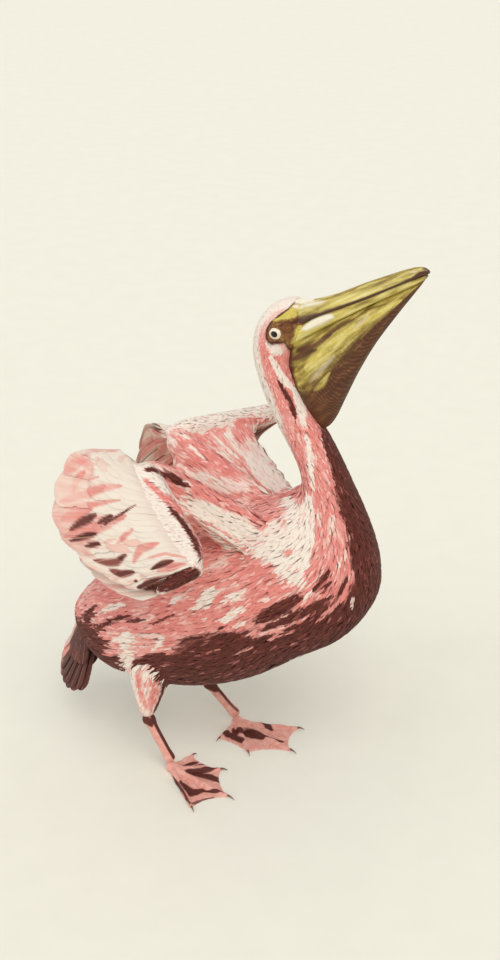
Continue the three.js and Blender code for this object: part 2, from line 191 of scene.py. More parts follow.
def body_surface(t, angle, rise=0.0):
    """The trunk, neck and head as one loft; angle 0 is the middle of the back."""
    return section_loft(BODY, BODY_FULLNESS, t, angle, rise)


def limb_surface(places, radius, flatten):
    """A surface function: a tube through places, of radius(t) rounded off at its ends by an
    eighth-power ellipse, and narrowed by flatten across the way that it bends."""
    def surface(t, angle, rise=0.0):
        centre = spline(places, t)
        along = unit(spline(places, t + 1e-4) - spline(places, t - 1e-4))
        front = unit(np.cross(np.array([0.0, 1.0, 0.0]), along))
        across = np.cross(along, front)
        rounded = np.sqrt(np.maximum(0, 1 - np.abs(2 * t - 1) ** 8))
        r = (radius(t) * rounded + rise)[..., None]
        return centre + front * r * np.cos(angle)[..., None] + across * r * flatten * np.sin(angle)[..., None]
    return surface


def blade_surface(leading, trailing, outward, thick, thin, crown, reach=1.0):
    """A surface function: a flat blade between two edges.

    Along the chord it runs by (1 - cos(angle)) / 2 times reach; across, by half the thickness,
    which falls from thick to thin with the root of that share, times sin(angle), plus the
    crown's parabola.
    """
    def surface(t, angle, rise=0.0):
        share, rise = (0.5 - 0.5 * np.cos(angle))[..., None], np.asarray(rise)[..., None]
        start = spline(leading, t)
        chord = spline(trailing, t) - start
        depth = (mix(thick, thin, np.sqrt(share)) / 2 + rise) * np.sin(angle)[..., None]
        bulge = crown * 4 * share * reach * (1 - share * reach)
        flat = start + chord * share * reach + unit(chord) * rise * (2 * share - 1)
        return flat + outward * (depth + bulge)
    return surface


def points_between(a, b, *shares):
    """Places on the straight line from a to b."""
    return [mix(np.array(a, float), np.array(b, float), share) for share in shares]


def facing(a, b, c):
    """The way that a sheet through three places faces."""
    a, b, c = (np.array(p, float) for p in (a, b, c))
    return unit(np.cross(c - b, a - b))




# ---------------------------------------------------------------- limbs
SIDES = {"right": -1, "left": 1}
LEGS = {
    "right": {"hip": (-108, -82, 304), "hock": (-116, -106, 137), "ankle": (-54, -112, 26), "heading": -19},
    "left": {"hip": (-46, 84, 290), "hock": (-44, 108, 112), "ankle": (36, 112, 28), "heading": -22},
}
WINGS = {
    "right": {
        "shoulder": (190, -34, 580), "elbow": (-86, -165, 822), "wrist": (108, -328, 706),
        "hand": (14, -344, 628), "outward": (-0.1, -0.82, 0.56), "under": 24.0,
        "fold_edge": ((176, -104, 590), (60, -150, 690), (-4, -196, 744), (40, -264, 736), (100, -318, 712)),
        "tips": ((-146, -172, 858), (-224, -200, 850), (-262, -228, 774), (-246, -262, 694),
                 (-174, -290, 642), (-88, -318, 620), (-40, -332, 618)),
        "hand_tips": ((-212, -268, 640), (-158, -294, 612), (-96, -320, 600), (-34, -344, 606)),
        "back": ((150, -10, 680), (20, -30, 606), (-110, -40, 536)),
    },
    "left": {
        "shoulder": (190, 34, 590), "elbow": (-146, 160, 746), "wrist": (112, 306, 788),
        "hand": (24, 370, 722), "outward": (-0.2, 0.45, 0.86), "under": 8.0,
        "fold_edge": ((224, 30, 700), (122, 166, 706), (56, 220, 750), (70, 262, 776), (112, 306, 790)),
        "tips": ((-214, 158, 746), (-246, 190, 646), (-270, 270, 566), (-214, 346, 546),
                 (-124, 390, 562), (-46, 406, 608)),
        "hand_tips": ((-214, 300, 520), (-164, 344, 506), (-100, 378, 520), (-44, 396, 556)),
        "back": ((150, 10, 680), (20, 30, 606), (-110, 40, 536)),
    },
}


def wing_edges(name):
    """The leading and trailing edges of a wing's sheets, and the ways that they face."""
    wing = WINGS[name]
    shoulder, elbow, wrist, hand = (wing[key] for key in ("shoulder", "elbow", "wrist", "hand"))
    outward = unit(np.array(wing["outward"]))
    under = -wing["under"] * outward
    return {
        "arm": (points_between(elbow, wrist, 0, 0.25, 0.5, 0.75, 0.95, 1),
                np.array(wing["tips"], float), outward),
        "hand": (np.array(points_between(wrist, hand, 0.3, 0.55, 0.8, 1)) + under,
                 np.array(wing["hand_tips"], float) + under, outward),
        "fold": (np.array(wing["fold_edge"], float),
                 points_between(shoulder, elbow, 0, 0.5, 1) + points_between(elbow, wrist, 0.5, 1),
                 facing(shoulder, elbow, wrist)),
        "scapular": (points_between(shoulder, elbow, 0.25, 0.6, 0.93), np.array(wing["back"], float),
                     facing(shoulder, elbow, wing["back"][1])),
    }


def joint_line(a, b):
    """A limb's line as three places."""
    return np.array(points_between(a, b, 0, 0.5, 1))


BODY_FEATHERS = np.array([34, 36, 38, 38, 36, 32, 27, 22, 17, 13, 9, 6.5, 5.5])[:, None]


def fleshy(surface, grid, sink, length, lie):
    """One form: its surface and grid, how far the skin lies inside it and how long its feathers
    are from one end to the other, and the lie of its coat as a vector field of place."""
    return {"surface": surface, "grid": grid, "lie": lie,
            "sink": lambda t: mix(*sink, t), "length": lambda t: mix(*length, t)}


def flesh_forms():
    """Every fleshy form under the plumage, by name."""
    forms = {"body": {
        "surface": body_surface, "grid": (170, 72), "sink": lambda t: spline(COAT_DEPTH, t)[..., 0],
        "lie": lambda t, a, p: body_surface(t - 0.004, a) - body_surface(t + 0.004, a),
        "length": lambda t: spline(BODY_FEATHERS, t)[..., 0],
    }}
    for name in SIDES:
        leg, wing, edges = LEGS[name], WINGS[name], wing_edges(name)
        thigh = joint_line(leg["hip"], leg["hock"])
        upper, fore, hand = (joint_line(wing[a], wing[b]) for a, b in (
            ("shoulder", "elbow"), ("elbow", "wrist"), ("wrist", "hand")))
        fan = lambda t, a, p, source=np.array(wing["shoulder"]) + (70, 0, 10): p - source
        chord = lambda t, a, p, edges=edges["arm"]: spline(edges[1], t) - spline(edges[0], t)
        forms |= {
            "thigh_" + name: fleshy(
                limb_surface(thigh, lambda t: mix(74, 17, t ** 0.8), 0.9), (40, 32), (8, 3), (34, 15),
                lambda t, a, p, way=thigh[2] - thigh[0]: p * 0 + way + (-20, 0, 0)),
            "upper_arm_" + name: fleshy(
                limb_surface(upper, lambda t: mix(70, 38, t), 0.56), (40, 32), (7, 7), (36, 28), fan),
            "fold_" + name: fleshy(
                blade_surface(*edges["fold"], 18, 22, 0), (40, 28), (4, 4), (30, 30), fan),
            "scapular_" + name: fleshy(
                blade_surface(*edges["scapular"], 34, 26, 0), (40, 28), (8, 8), (44, 44), fan),
            "forearm_" + name: fleshy(
                limb_surface(fore, lambda t: mix(34, 24, t), 0.8), (36, 24), (5, 5), (18, 15), chord),
            "arm_" + name: fleshy(
                blade_surface(*edges["arm"], 36, 4, 12, reach=0.5), (40, 28), (0, 0), (30, 30), chord),
            "hand_" + name: fleshy(
                limb_surface(hand, lambda t: mix(24, 12, t), 0.8), (24, 20), (4, 4), (20, 16),
                lambda t, a, p, r=edges["hand"][1], l=hand: spline(r, t) - spline(l, t)),
        }
    return forms


# ---------------------------------------------------------------- meshes
def place_points(mesh, points):
    """Puts a mesh's points at places in bird millimetres."""
    mesh.vertices.foreach_set("co", metres(points).astype(np.float32).ravel())


def fetched(data, key, width, kind=np.float32):
    """One property of everything in a collection, as rows of that width."""
    values = np.empty(len(data) * width, kind)
    data.foreach_get(key, values)
    return values.reshape(-1, width)


def in_scene(name, data):
    """A new object with that data, linked into the scene."""
    obj = bpy.data.objects.new(name, data)
    bpy.context.scene.collection.objects.link(obj)
    return obj


def make_mesh(name, points, *faces):
    """A mesh from points in bird millimetres and arrays of equal-sided faces."""
    mesh = bpy.data.meshes.new(name)
    mesh.vertices.add(len(points))
    place_points(mesh, points)
    faces = [np.asarray(f, np.int32) for f in faces if len(f)]
    corners = np.concatenate([f.ravel() for f in faces])
    sides = np.concatenate([np.full(len(f), f.shape[1]) for f in faces])
    mesh.loops.add(len(corners))
    mesh.loops.foreach_set("vertex_index", corners)
    mesh.polygons.add(len(sides))
    mesh.polygons.foreach_set("loop_start", np.cumsum(np.append(0, sides[:-1])).astype(np.int32))
    mesh.update(calc_edges=True)
    mesh.shade_smooth()
    return mesh


def tube_faces(rows, sides):
    """Quads of a tube of rows rings, and the triangles that close it to a pole at each end.

    Point 0 is the first pole, then come the rings, then the last pole.
    """
    r, s = np.meshgrid(np.arange(rows - 1), np.arange(sides), indexing="ij")
    nxt = (s + 1) % sides
    a, b = 1 + r * sides + s, 1 + r * sides + nxt
    quads = np.stack([a, b, b + sides, a + sides], axis=-1).reshape(-1, 4)
    ring = np.arange(sides)
    after = (ring + 1) % sides
    last = 1 + (rows - 1) * sides
    end = last + sides
    caps = np.concatenate([np.stack([0 * ring, 1 + after, 1 + ring], axis=-1),
                           np.stack([0 * ring + end, last + ring, last + after], axis=-1)])
    return quads, caps


def surface_grid(steps, sides, ends=(0.0, 1.0)):
    """t at even steps between two ends, and the angle once round."""
    round_once = np.linspace(0, 2 * np.pi, sides, endpoint=False)
    return np.meshgrid(np.linspace(*ends, steps + 1), round_once, indexing="ij")


def tube_points(surface, steps, sides):
    """A closed tube's points: the surface at even steps between its ends, with a pole at each."""
    t, angle = surface_grid(steps, sides)
    rings = surface(t[1:-1], angle[1:-1])
    first, last = surface(t[[0, -1]], angle[[0, -1]]).mean(axis=1)
    return np.concatenate([[first], rings.reshape(-1, 3), [last]]), (t[1:-1], angle[1:-1])


def outward(points, quads, tris):
    """The same faces, all turned round if the shell that they make is inside out."""
    a, b, c, d = (points[quads[:, k]] for k in range(4))
    p, q, r = (points[tris[:, k]] for k in range(3))
    volume = np.sum(dot(np.cross(a, b), c)) + np.sum(dot(np.cross(a, c), d)) + np.sum(dot(np.cross(p, q), r))
    return (quads, tris) if volume > 0 else (quads[:, ::-1], tris[:, ::-1])


def closed_tube(surface, steps, sides):
    """Points, quads and triangles of a closed tube over a surface, faces out, and its grid."""
    points, grid = tube_points(surface, steps, sides)
    quads, tris = outward(points, *tube_faces(steps - 1, sides))
    return points, quads, tris, grid


def joined(shells):
    """Several shells of points, quads and triangles as one."""
    points, quads, tris, count = [], [], [], 0
    for p, q, t in shells:
        points.append(p)
        quads.append(q + count)
        tris.append(t + count)
        count += len(p)
    return np.concatenate(points), np.concatenate(quads), np.concatenate(tris)


def add_object(name, mesh, slot, material, *nodes):
    """Puts a finished mesh in the scene as a piece of the bird that stands for the named nodes."""
    return as_piece(in_scene(name, mesh), slot, material, *nodes)


def as_piece(obj, slot, material, *nodes):
    """Makes an object a piece of the bird, of that material, that stands for the named nodes."""
    obj.data.materials.append(material)
    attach(obj, BODY_NAME)
    if nodes:
        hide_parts(*nodes)
    return obj


def paint(mesh, name, values):
    """A colour attribute on the points, from an array of up to four columns."""
    colour = np.ones((len(mesh.vertices), 4), np.float32)
    colour[:, :values.shape[1]] = values
    layer = mesh.color_attributes.new(name, "FLOAT_COLOR", "POINT")
    layer.data.foreach_set("color", colour.ravel())


def lay_out(mesh, name, uv):
    """A UV map from one place for each point."""
    corner = fetched(mesh.loops, "vertex_index", 1, np.int32)[:, 0]
    mesh.uv_layers.new(name=name).data.foreach_set("uv", uv[corner].astype(np.float32).ravel())


def vertices_of(mesh):
    """A mesh's points in bird millimetres."""
    return (fetched(mesh.vertices, "co", 3) - SHIFT) * 1000


def normals_of(mesh):
    """A mesh's point normals."""
    return fetched(mesh.vertex_normals, "vector", 3).astype(float)


def settled(obj):
    """The object's mesh with its modifiers applied, which takes the mesh's place."""
    graph = bpy.context.evaluated_depsgraph_get()
    mesh = bpy.data.meshes.new_from_object(obj.evaluated_get(graph))
    obj.modifiers.clear()
    old, obj.data = obj.data, mesh
    bpy.data.meshes.remove(old)
    return mesh


def remeshed(name, shells, voxel, smoothing):
    """One closed skin round overlapping shells: a voxel remesh, then smoothing."""
    obj = in_scene(name, make_mesh(name, *joined(shells)))
    remesh = obj.modifiers.new("Remesh", "REMESH")
    remesh.mode = "VOXEL"
    remesh.voxel_size = voxel / 1000
    relax = obj.modifiers.new("Smooth", "SMOOTH")
    relax.factor = 0.5
    relax.iterations = smoothing
    settled(obj)
    obj.data.shade_smooth()
    return obj




# ---------------------------------------------------------------- markings
def between_rows(x, *rows):
    """Straight-line values between (x, value) rows."""
    return np.interp(x, [row[0] for row in rows], [row[1] for row in rows])


def streaks(along, across, seed):
    """Brush-like noise, long along the lie of the coat and narrow across it."""
    broad = noise(along * 30, across * 9, seed)
    fine = noise(along * 75, across * 24, seed + 1)
    return 0.55 * broad + 0.45 * fine


# Brush strokes laid over one another in order: b dark brown, c cream, r back to rose; how strong,
# half width, then the places that the stroke runs through, all in mm. The dark strokes on the rump,
# belly, thigh and foreneck are partly painted shade, as the body's brown below is, and the cream
# strokes are partly painted highlight.
COAT_STROKES = (
    ("c", 0.8, 15, -184, 178, 724, -118, 130, 744), ("c", 0.8, 15, -61, 97, 683, 16, 70, 683, 74, 58, 687),
    ("c", 0.9, 23, 55, 160, 717, 106, 127, 697, 144, 85, 681),
    ("r", 1, 14, 27, -143, 766, 68, -121, 748, 112, -99, 719, 169, -74, 685),
    ("r", 0.9, 7, 31, -139, 770, 76, -105, 750, 104, 41, 667),
    ("r", 0.9, 8, -104, 126, 745, -60, 129, 754, -32, 159, 735),
    ("r", 0.8, 6, -95, 141, 763, -74, 170, 752, -48, 164, 743),
    ("r", 1, 15, -55, 115, 743, 2, 110, 732, 47, 142, 708),
    ("r", 1, 13, -108, 119, 704, -20, 91, 715, 65, 86, 709),
    ("r", 1, 10, -20, 93, 717, 26, 80, 709, 56, 72, 702),
    ("r", 0.9, 7, -202, 211, 664, -188, 258, 639, -98, 116, 703),
    ("r", 0.8, 6, -234, 187, 652, -37, -151, 827, 5, -124, 798),
    ("r", 0.8, 7, -28, -160, 817, -67, 99, 684), ("r", 0.9, 9, -49, 187, 759, -26, 193, 759),
    ("r", 1, 9, 9, 223, 778, 64, 255, 772), ("r", 1, 15, 5, 219, 769, 34, 207, 753, 22, 185, 741),
    ("b", 1, 11, -57, -199, 833, -34, -180, 822, -13, -158, 801, 12, -148, 782),
    ("c", 1, 10, -72, -199, 828, -9, -223, 811, 14, -149, 750),
    ("c", 1, 21, 13, -149, 747, 82, -122, 701, 150, -94, 662),
    ("r", 1, 7, -52, -216, 818, -1, -244, 799, 34, -259, 783),
    ("r", 1, 15, 34, -259, 783, 27, -119, 669, 70, -91, 613),
    ("r", 1, 13, 10, -236, 800, 45, -252, 782, 78, -272, 762, 103, -297, 736, 114, -316, 718),
    ("r", 1, 30, 60, 345, 750, 20, 368, 716, -10, 375, 700),
    # Painted shadow: a dark line along the near forearm's edge, for the shade between the wing and the body
    # behind it.
    ("b", 1, 8, 19, -260, 786, 47, -276, 772, 75, -294, 756, 94, -311, 741, 107, -325, 724, 110, -327, 709),
    ("c", 1, 29, 114, -109, 673, 164, -106, 647, 225, -121, 621),
    ("c", 1, 32, 185, -84, 683, 233, -107, 658, 251, -118, 622),
    ("c", 1, 24, 195, -27, 725, 243, -81, 707, 263, -99, 670),
    ("c", 1, 20, 253, -61, 750, 260, -92, 685, 262, -120, 603),
    ("c", 1, 13, 207, -128, 604, 241, -127, 589, 268, -124, 573),
    ("c", 1, 7, 242, -42, 887, 252, -47, 851, 262, -59, 765),
    ("c", 0.9, 6, 272, -126, 547, 291, -119, 560), ("c", 0.6, 7, 311, -62, 719, 310, -78, 682),
    ("c", 0.9, 5, 328, -98, 603, 337, -87, 621), ("r", 0.8, 5, 129, -102, 647, 175, -107, 650),
    ("r", 0.9, 5, 215, -114, 641, 241, -111, 645), ("r", 0.7, 13, 152, -88, 681, 165, -76, 682),
    ("c", 0.9, 15, 47, -144, 501, 57, -139, 524, 74, -139, 534),
    ("c", 0.9, 7, 104, -145, 528, 139, -144, 543), ("c", 0.9, 11, 98, -153, 472, 136, -150, 504),
    ("c", 0.8, 5, 125, -152, 461, 143, -151, 469), ("c", 0.7, 6, 179, -145, 527, 205, -141, 540),
    ("c", 0.9, 7, -215, -99, 406, -158, -110, 441), ("c", 1, 17, -171, -123, 351, -131, -133, 372),
    ("c", 1, 17, -158, -127, 350, -148, -124, 308, -171, -78, 228),
    ("c", 0.9, 7, -67, -143, 360, -54, -145, 390), ("c", 0.9, 8, -37, -133, 477, -8, -134, 497),
    ("c", 1, 14, 40, -145, 495, 69, -139, 531), ("c", 0.9, 6, 27, -145, 485, 57, -147, 496),
    ("c", 0.9, 8, 102, -152, 479, 129, -150, 500), ("c", 0.9, 7, 104, -147, 518, 136, -146, 534),
    ("c", 0.6, 3, 41, -151, 458, 60, -152, 467), ("c", 0.5, 8, -269, -27, 430, -298, -48, 381),
    ("b", 1, 8, -248, -85, 398, -275, -79, 354),
    ("b", 1, 17, -253, -93, 318, -225, -105, 317, -212, -106, 298),
    ("b", 1, 8, -246, -97, 328, -208, -110, 376, -178, -116, 401, -142, -123, 419),
    ("b", 0.95, 6, -137, -126, 410, -103, -133, 421),
    ("b", 0.9, 4, -80, -138, 422, -59, -141, 430, -29, -142, 454),
    ("b", 0.95, 10, -226, -85, 258, -200, -95, 259, -175, -99, 257),
    ("b", 0.9, 3, -251, -91, 376, -218, -98, 405), ("b", 0.9, 3, -286, -70, 356, -256, -80, 397),
    ("r", 0.9, 11, -214, -103, 290, -182, -117, 311), ("b", 1, 3, 73, -154, 432, 103, -153, 459),
    ("b", 1, 10, -95, -135, 323, -50, -143, 345),
    ("b", 1, 17, 175, -147, 480, 217, -141, 511, 260, -130, 546),
    ("b", 1, 13, 188, -144, 461, 244, -134, 491, 289, -121, 520, 316, -110, 541),
    ("b", 1, 7, 290, -120, 559, 304, -112, 583, 318, -101, 611),
    ("b", 1, 7, 302, -115, 560, 319, -106, 576), ("b", 1, 5, 321, -107, 559, 322, -108, 542),
    ("b", 1, 7, 337, -100, 539, 346, -94, 567, 352, -85, 591),
    ("r", 0.9, 5, 186, -138, 421, 217, -134, 444, 251, -127, 456),
    ("r", 0.9, 6, 302, -114, 487, 327, -105, 517, 344, -96, 540),
    ("r", 0.7, 3, 246, -115, 413, 260, -117, 432), ("r", 0.7, 3, 124, -142, 379, 156, -141, 402),
    ("c", 0.8, 4, 367, -78, 513, 365, -82, 543), ("r", 0.5, 4, -74, -129, 285, -35, -141, 327),
    ("r", 0.5, 3, 37, -148, 360, 84, -150, 390), ("r", 0.6, 4, 114, -142, 371, 150, -142, 402),
    ("r", 1, 8, 184, -38, 1049, 190, -34, 1026),
    ("b", 1, 6, 179, -41, 1006, 193, -41, 981, 205, -40, 961, 212, -41, 942, 219, -43, 922),
    ("c", 1, 13, 160, -45, 1083, 183, -41, 1067),
    ("c", 1, 8, 164, -43, 1054, 188, -38, 1010, 211, -28, 982),
    ("c", 1, 11, 213, -27, 980, 227, -31, 946, 236, -39, 909),
    ("c", 1, 10, -134, -134, 283, -146, -118, 239, -136, -121, 211, -127, -123, 182),
    ("r", 1, 8, -117, -138, 282, -124, -132, 248, -117, -129, 213, -107, -124, 176),
    ("r", 1, 9, -84, -130, 259, -90, -126, 214, -98, -120, 174),
    ("b", 1, 8, -68, -110, 249, -76, -103, 208, -87, -106, 174, -94, -109, 158),
    ("b", 1, 20, -264, -88, 334, -250, -95, 355), ("b", 1, 27, -262, -76, 278, -213, -110, 322),
    ("b", 1, 10, -289, -68, 317, -262, -87, 361, -251, -88, 385),
    ("b", 0.9, 4, -253, -93, 318, -226, -106, 352, -196, -112, 388, -150, -121, 416),
    ("b", 0.9, 3, -287, -71, 351, -268, -80, 377, -257, -80, 398),
    ("r", 0.9, 6, -244, -98, 350, -232, -100, 378, -215, -104, 394),
    ("r", 1, 8, -188, -116, 317, -205, -108, 297, -215, -101, 284),
    ("b", 1, 25, 24, -350, 652, 60, -351, 666, 86, -349, 683, 98, -345, 691),
    ("r", 0.7, 2, 25, -352, 652, 60, -356, 672, 92, -354, 690),
    ("c", 1, 10, 88, -329, 723, 107, -333, 708, 113, -339, 700),
)
NEAR_WING_STROKES = (
    ("r", 0.6, 14, -180, -210, 854, -215, -221, 835, -240, -228, 808),
    ("r", 1, 10, -185, -228, 827, -206, -236, 805, -208, -246, 782),
    ("r", 1, 14, -240, -250, 755, -181, -250, 781, -141, -244, 798, -96, -234, 806),
    ("r", 1, 8, -234, -256, 744, -164, -261, 765, -94, -253, 783),
    ("r", 0.9, 3, -178, -237, 810, -148, -232, 819),
    ("r", 1, 14, -233, -265, 722, -192, -265, 747, -153, -263, 763),
    ("r", 1, 13, -224, -277, 689, -169, -284, 714, -126, -283, 732, -74, -271, 758),
    ("r", 1, 7, -87, -303, 705, -67, -295, 727, -52, -287, 740),
    ("r", 1, 10, -42, -326, 681, -28, -312, 709, 13, -305, 726),
    ("r", 0.8, 4, -124, -298, 699, -89, -298, 716),
    ("r", 0.9, 4, -11, -325, 696, 31, -321, 712, 85, -328, 714),
    ("r", 1, 10, 18, -343, 680, 50, -340, 696, 81, -338, 704),
    ("r", 0.6, 8, -170, -295, 669, -134, -306, 665), ("r", 0.5, 8, -27, -338, 661, -4, -346, 658),
    ("b", 0.95, 10, -208, -277, 706, -175, -275, 732, -143, -271, 750),
    ("b", 0.95, 7, -138, -280, 735, -103, -272, 755),
    ("b", 1, 3, -129, -284, 730, -89, -272, 757, -58, -253, 778),
    ("b", 1, 8, -207, -283, 683, -170, -287, 703, -140, -289, 715),
    ("b", 1, 7, -167, -293, 683, -127, -298, 698),
    ("b", 1, 10, -145, -304, 660, -108, -313, 665, -83, -318, 673, -60, -315, 693),
    ("b", 1, 8, -102, -318, 651, -71, -327, 651, -37, -334, 665),
    ("b", 1, 4, -39, -338, 645, -30, -340, 650), ("b", 1, 8, 3, -339, 680, 29, -335, 696, 52, -332, 705),
    ("b", 1, 17, -14, -310, 620, 16, -318, 631, 42, -320, 641, 70, -326, 660),
    ("b", 1, 6, -28, -309, 611, -14, -311, 617, 4, -314, 624),
)

# Strokes on the bill, the pouch and the face, as above, with y yellow. The pale c strokes are painted
# highlights, on the bill's root and ridge, its lower mandible and the pouch.
HEAD_STROKES = (
    ("y", 1, 10, 258, -33, 1162, 301, -39, 1183, 339, -45, 1200, 383, -53, 1222),
    ("y", 1, 7, 366, -50, 1214, 419, -59, 1242, 465, -63, 1266),
    ("y", 1, 6, 243, -20, 1170, 300, -34, 1190, 366, -47, 1219),
    ("y", 1, 7, 223, -18, 1163, 243, -20, 1170, 271, -25, 1181),
    ("c", 0.9, 8, 206, -29, 1164, 228, -22, 1164, 252, -25, 1173, 290, -31, 1184),
    ("c", 1, 12, 193, -9, 1165, 211, -13, 1174, 229, -16, 1177, 247, -18, 1179),
    ("y", 1, 7, 180, -38, 1138, 200, -37, 1147, 222, -30, 1150),
    ("c", 0.7, 3, 442, -54, 1265, 468, -59, 1275),
    ("b", 0.6, 2, 259, -36, 1155, 303, -42, 1176, 354, -50, 1199),
    ("b", 0.7, 3, 387, -53, 1227, 419, -58, 1244, 459, -63, 1264),
    ("b", 0.5, 3, 410, -45, 1251, 440, -43, 1267, 475, -43, 1278),
    ("b", 1, 7, 206, -41, 1131, 226, -33, 1142, 250, -35, 1151, 275, -39, 1162),
    ("y", 1, 9, 216, -37, 1103, 222, -37, 1115, 227, -37, 1129),
    ("y", 1, 15, 211, -26, 1076, 238, -38, 1112, 271, -41, 1133),
    ("y", 1, 15, 250, -39, 1119, 304, -44, 1154, 364, -40, 1185),
    ("y", 1, 8, 341, -49, 1178, 405, -46, 1207, 454, -54, 1236),
    ("c", 1, 11, 228, -38, 1118, 260, -40, 1141, 296, -43, 1160),
    ("b", 0.9, 11, 198, -35, 1071, 226, -31, 1073, 261, -40, 1093, 294, -43, 1120),
    ("b", 0.8, 8, 271, -38, 1107, 303, -41, 1133, 341, -46, 1159),
    ("b", 0.5, 4, 335, -45, 1155, 369, -46, 1181, 406, -53, 1200),
    ("b", 0.9, 10, 197, -25, 1046, 228, -36, 1062, 264, -42, 1083),
    ("y", 1, 13, 238, -39, 1030, 256, -43, 1060, 290, -48, 1093),
    ("y", 1, 15, 273, -45, 1080, 317, -51, 1120, 359, -54, 1156),
    ("y", 1, 9, 344, -53, 1143, 395, -56, 1182, 438, -57, 1213),
    ("c", 0.4, 8, 246, -38, 1002, 268, -47, 1034, 305, -52, 1080),
    ("c", 0.4, 6, 339, -52, 1140, 358, -53, 1158, 372, -52, 1172),
    ("y", 0.9, 7, 258, -42, 990, 276, -47, 1007, 295, -53, 1041),
    ("b", 0.7, 3, 309, -55, 1059, 330, -57, 1090, 358, -56, 1124),
    ("b", 1, 15, 192, -26, 1085, 200, -22, 1055, 206, -16, 1010, 221, -14, 975, 238, -8, 930),
)
FACE_STROKES = (
    ("y", 1, 10, 166, -38, 1132, 186, -37, 1147, 211, -30, 1163, 225, -12, 1164),
    ("y", 1, 8, 186, -37, 1146, 204, -34, 1156, 225, -22, 1158),
    ("y", 0.7, 7, 206, -36, 1085, 217, -36, 1100, 227, -35, 1115),
    ("b", 1, 4, 218, 2, 1171, 208, -21, 1173, 195, -32, 1159, 178, -36, 1144, 162, -37, 1132),
    ("b", 1, 4, 161, -37, 1132, 154, -41, 1111, 154, -43, 1095, 159, -45, 1087),
    ("b", 1, 3, 159, -45, 1087, 181, -45, 1089, 192, -42, 1086),
    ("b", 1, 5, 180, -41, 1124, 200, -41, 1131, 216, -37, 1134),
)
FOOT_STROKES = (
    ("b", 1, 7, -32, -90, 4, -18, -75, 4, -8, -67, 4), ("b", 0.8, 3, -7, -78, 4, 19, -62, 4),
    ("b", 1, 7, -19, -112, 4, 16, -98, 4, 67, -58, 4), ("b", 1, 12, -4, -113, 4, 40, -111, 4, 74, -118, 4),
    ("b", 0.9, 4, 68, -120, 4, 92, -123, 4), ("b", 1, 13, -10, -158, 4, 20, -181, 4, 40, -164, 4),
    ("b", 1, 5, 29, -168, 4, 87, -157, 4, 157, -165, 4),
    ("b", 0.8, 6, 34, -218, 4, 53, -200, 4, 74, -181, 4),
    ("b", 1, 3, -44, -140, 4, -5, -180, 4, 34, -226, 4),
    ("r", 0.7, 3, -60, -110, 4, -2, -120, 4, 97, -128, 4), ("b", 1, 4, -47, 37, 4, -14, 62, 4, 15, 83, 4),
    ("b", 1, 11, 12, 62, 4, 39, 63, 4, 71, 45, 4), ("b", 1, 14, 40, 80, 4, 76, 80, 4, 113, 78, 4),
    ("b", 1, 6, 105, 81, 4, 139, 78, 4, 164, 77, 4), ("b", 1, 8, 70, 135, 4, 96, 132, 4, 124, 116, 4),
    ("b", 1, 3, 88, 135, 4, 121, 137, 4, 159, 153, 4),
)


def near_side(p):
    """Places mirrored to the bird's right side, with the head's turn kept."""
    q = look_aside(p, -HEAD_TURN)
    q[..., 1] = -np.abs(q[..., 1])
    return look_aside(q)


def brushed(p, layers, kinds, strokes, ragged=0.0, flat=None, soft=0.75):
    """Paints tapering strokes over layers, one column for each of kinds.

    A place's distance from the stroke's line, over the stroke's half width there, which swells
    to 1 by a sine, from 0.58 or for a soft stroke from a fine point, fades it out from soft to
    1.2; ragged is added to that ratio. Where flat is given, that way is left out of distances.
    """
    squash = (lambda q: q) if flat is None else (lambda q: q - dot(q, flat) * flat)
    p, ragged = squash(p), np.broadcast_to(ragged, len(p))
    for kind, strength, width, *numbers in strokes:
        line = squash(np.array(numbers, float).reshape(-1, 3))
        reach = 1.3 * width + 8
        near = np.all((p > line.min(axis=0) - reach) & (p < line.max(axis=0) + reach), axis=1)
        q, best = p[near], np.full(near.sum(), 9.0)
        for index, (a, b) in enumerate(zip(line, line[1:])):
            way = b - a
            share = np.clip((q - a) @ way / (way @ way), 0, 1)
            off = np.linalg.norm(q - a - share[:, None] * way, axis=1)
            whole = (index + share) / (len(line) - 1)
            swell = 0.4 + 0.6 * np.sin(np.pi * (0.1 + 0.8 * whole))
            if soft < 0.75:
                swell = 0.12 + 0.88 * np.abs(np.sin(np.pi * whole)) ** 0.6
            best = np.minimum(best, off / (width * swell))
        cover = strength * (1 - smooth(best + ragged[near], soft, 1.2))
        layers[near] *= 1 - cover[:, None]
        if kind in kinds:
            layers[near, kinds.index(kind)] += cover
    return layers


def body_marks(t, angle):
    """How brown and how cream the body is: brown below and down the neck's front, partly painted
    shade of the underside and the foreneck, cream on the nape and in a narrow band down the neck's
    side, faint pale flecks in the rose."""
    turn = np.mod(angle + np.pi, 2 * np.pi) - np.pi
    down = np.abs(np.degrees(turn))
    lie = streaks(t, turn, 3)
    border = between_rows(t, (0, 24), (0.03, 40), (0.07, 66), (0.1, 92), (0.13, 108), (0.159, 103),
                          (0.18, 99), (0.203, 92), (0.222, 89), (0.246, 94), (0.266, 102), (0.285, 111),
                          (0.313, 107), (0.348, 110), (0.381, 121), (0.405, 123), (0.43, 113), (0.48, 111),
                          (0.505, 117), (0.542, 130), (0.575, 144), (0.6, 158), (0.63, 190))
    brown = smooth(down + (lie - 0.5) * 20, border - 3, border + 3)
    nape = between_rows(t, (0.4, -10), (0.46, 20), (0.55, 44), (0.6, 62), (0.66, 74), (0.7, 76), (0.74, 68),
                        (0.78, 56), (0.86, 46), (0.95, 56), (1, 90))
    cream = 1 - smooth(down + (lie - 0.5) * 16, nape - 6, nape + 8)
    flecks = 0.6 * smooth(streaks(t * 0.8, turn, 21), 0.6, 0.85) * (t < 0.6)
    peach = 0.5 * smooth(t + 0.06 * (lie - 0.5), 0.76, 0.84)
    return brown, np.maximum(cream, flecks + peach) * (1 - brown)


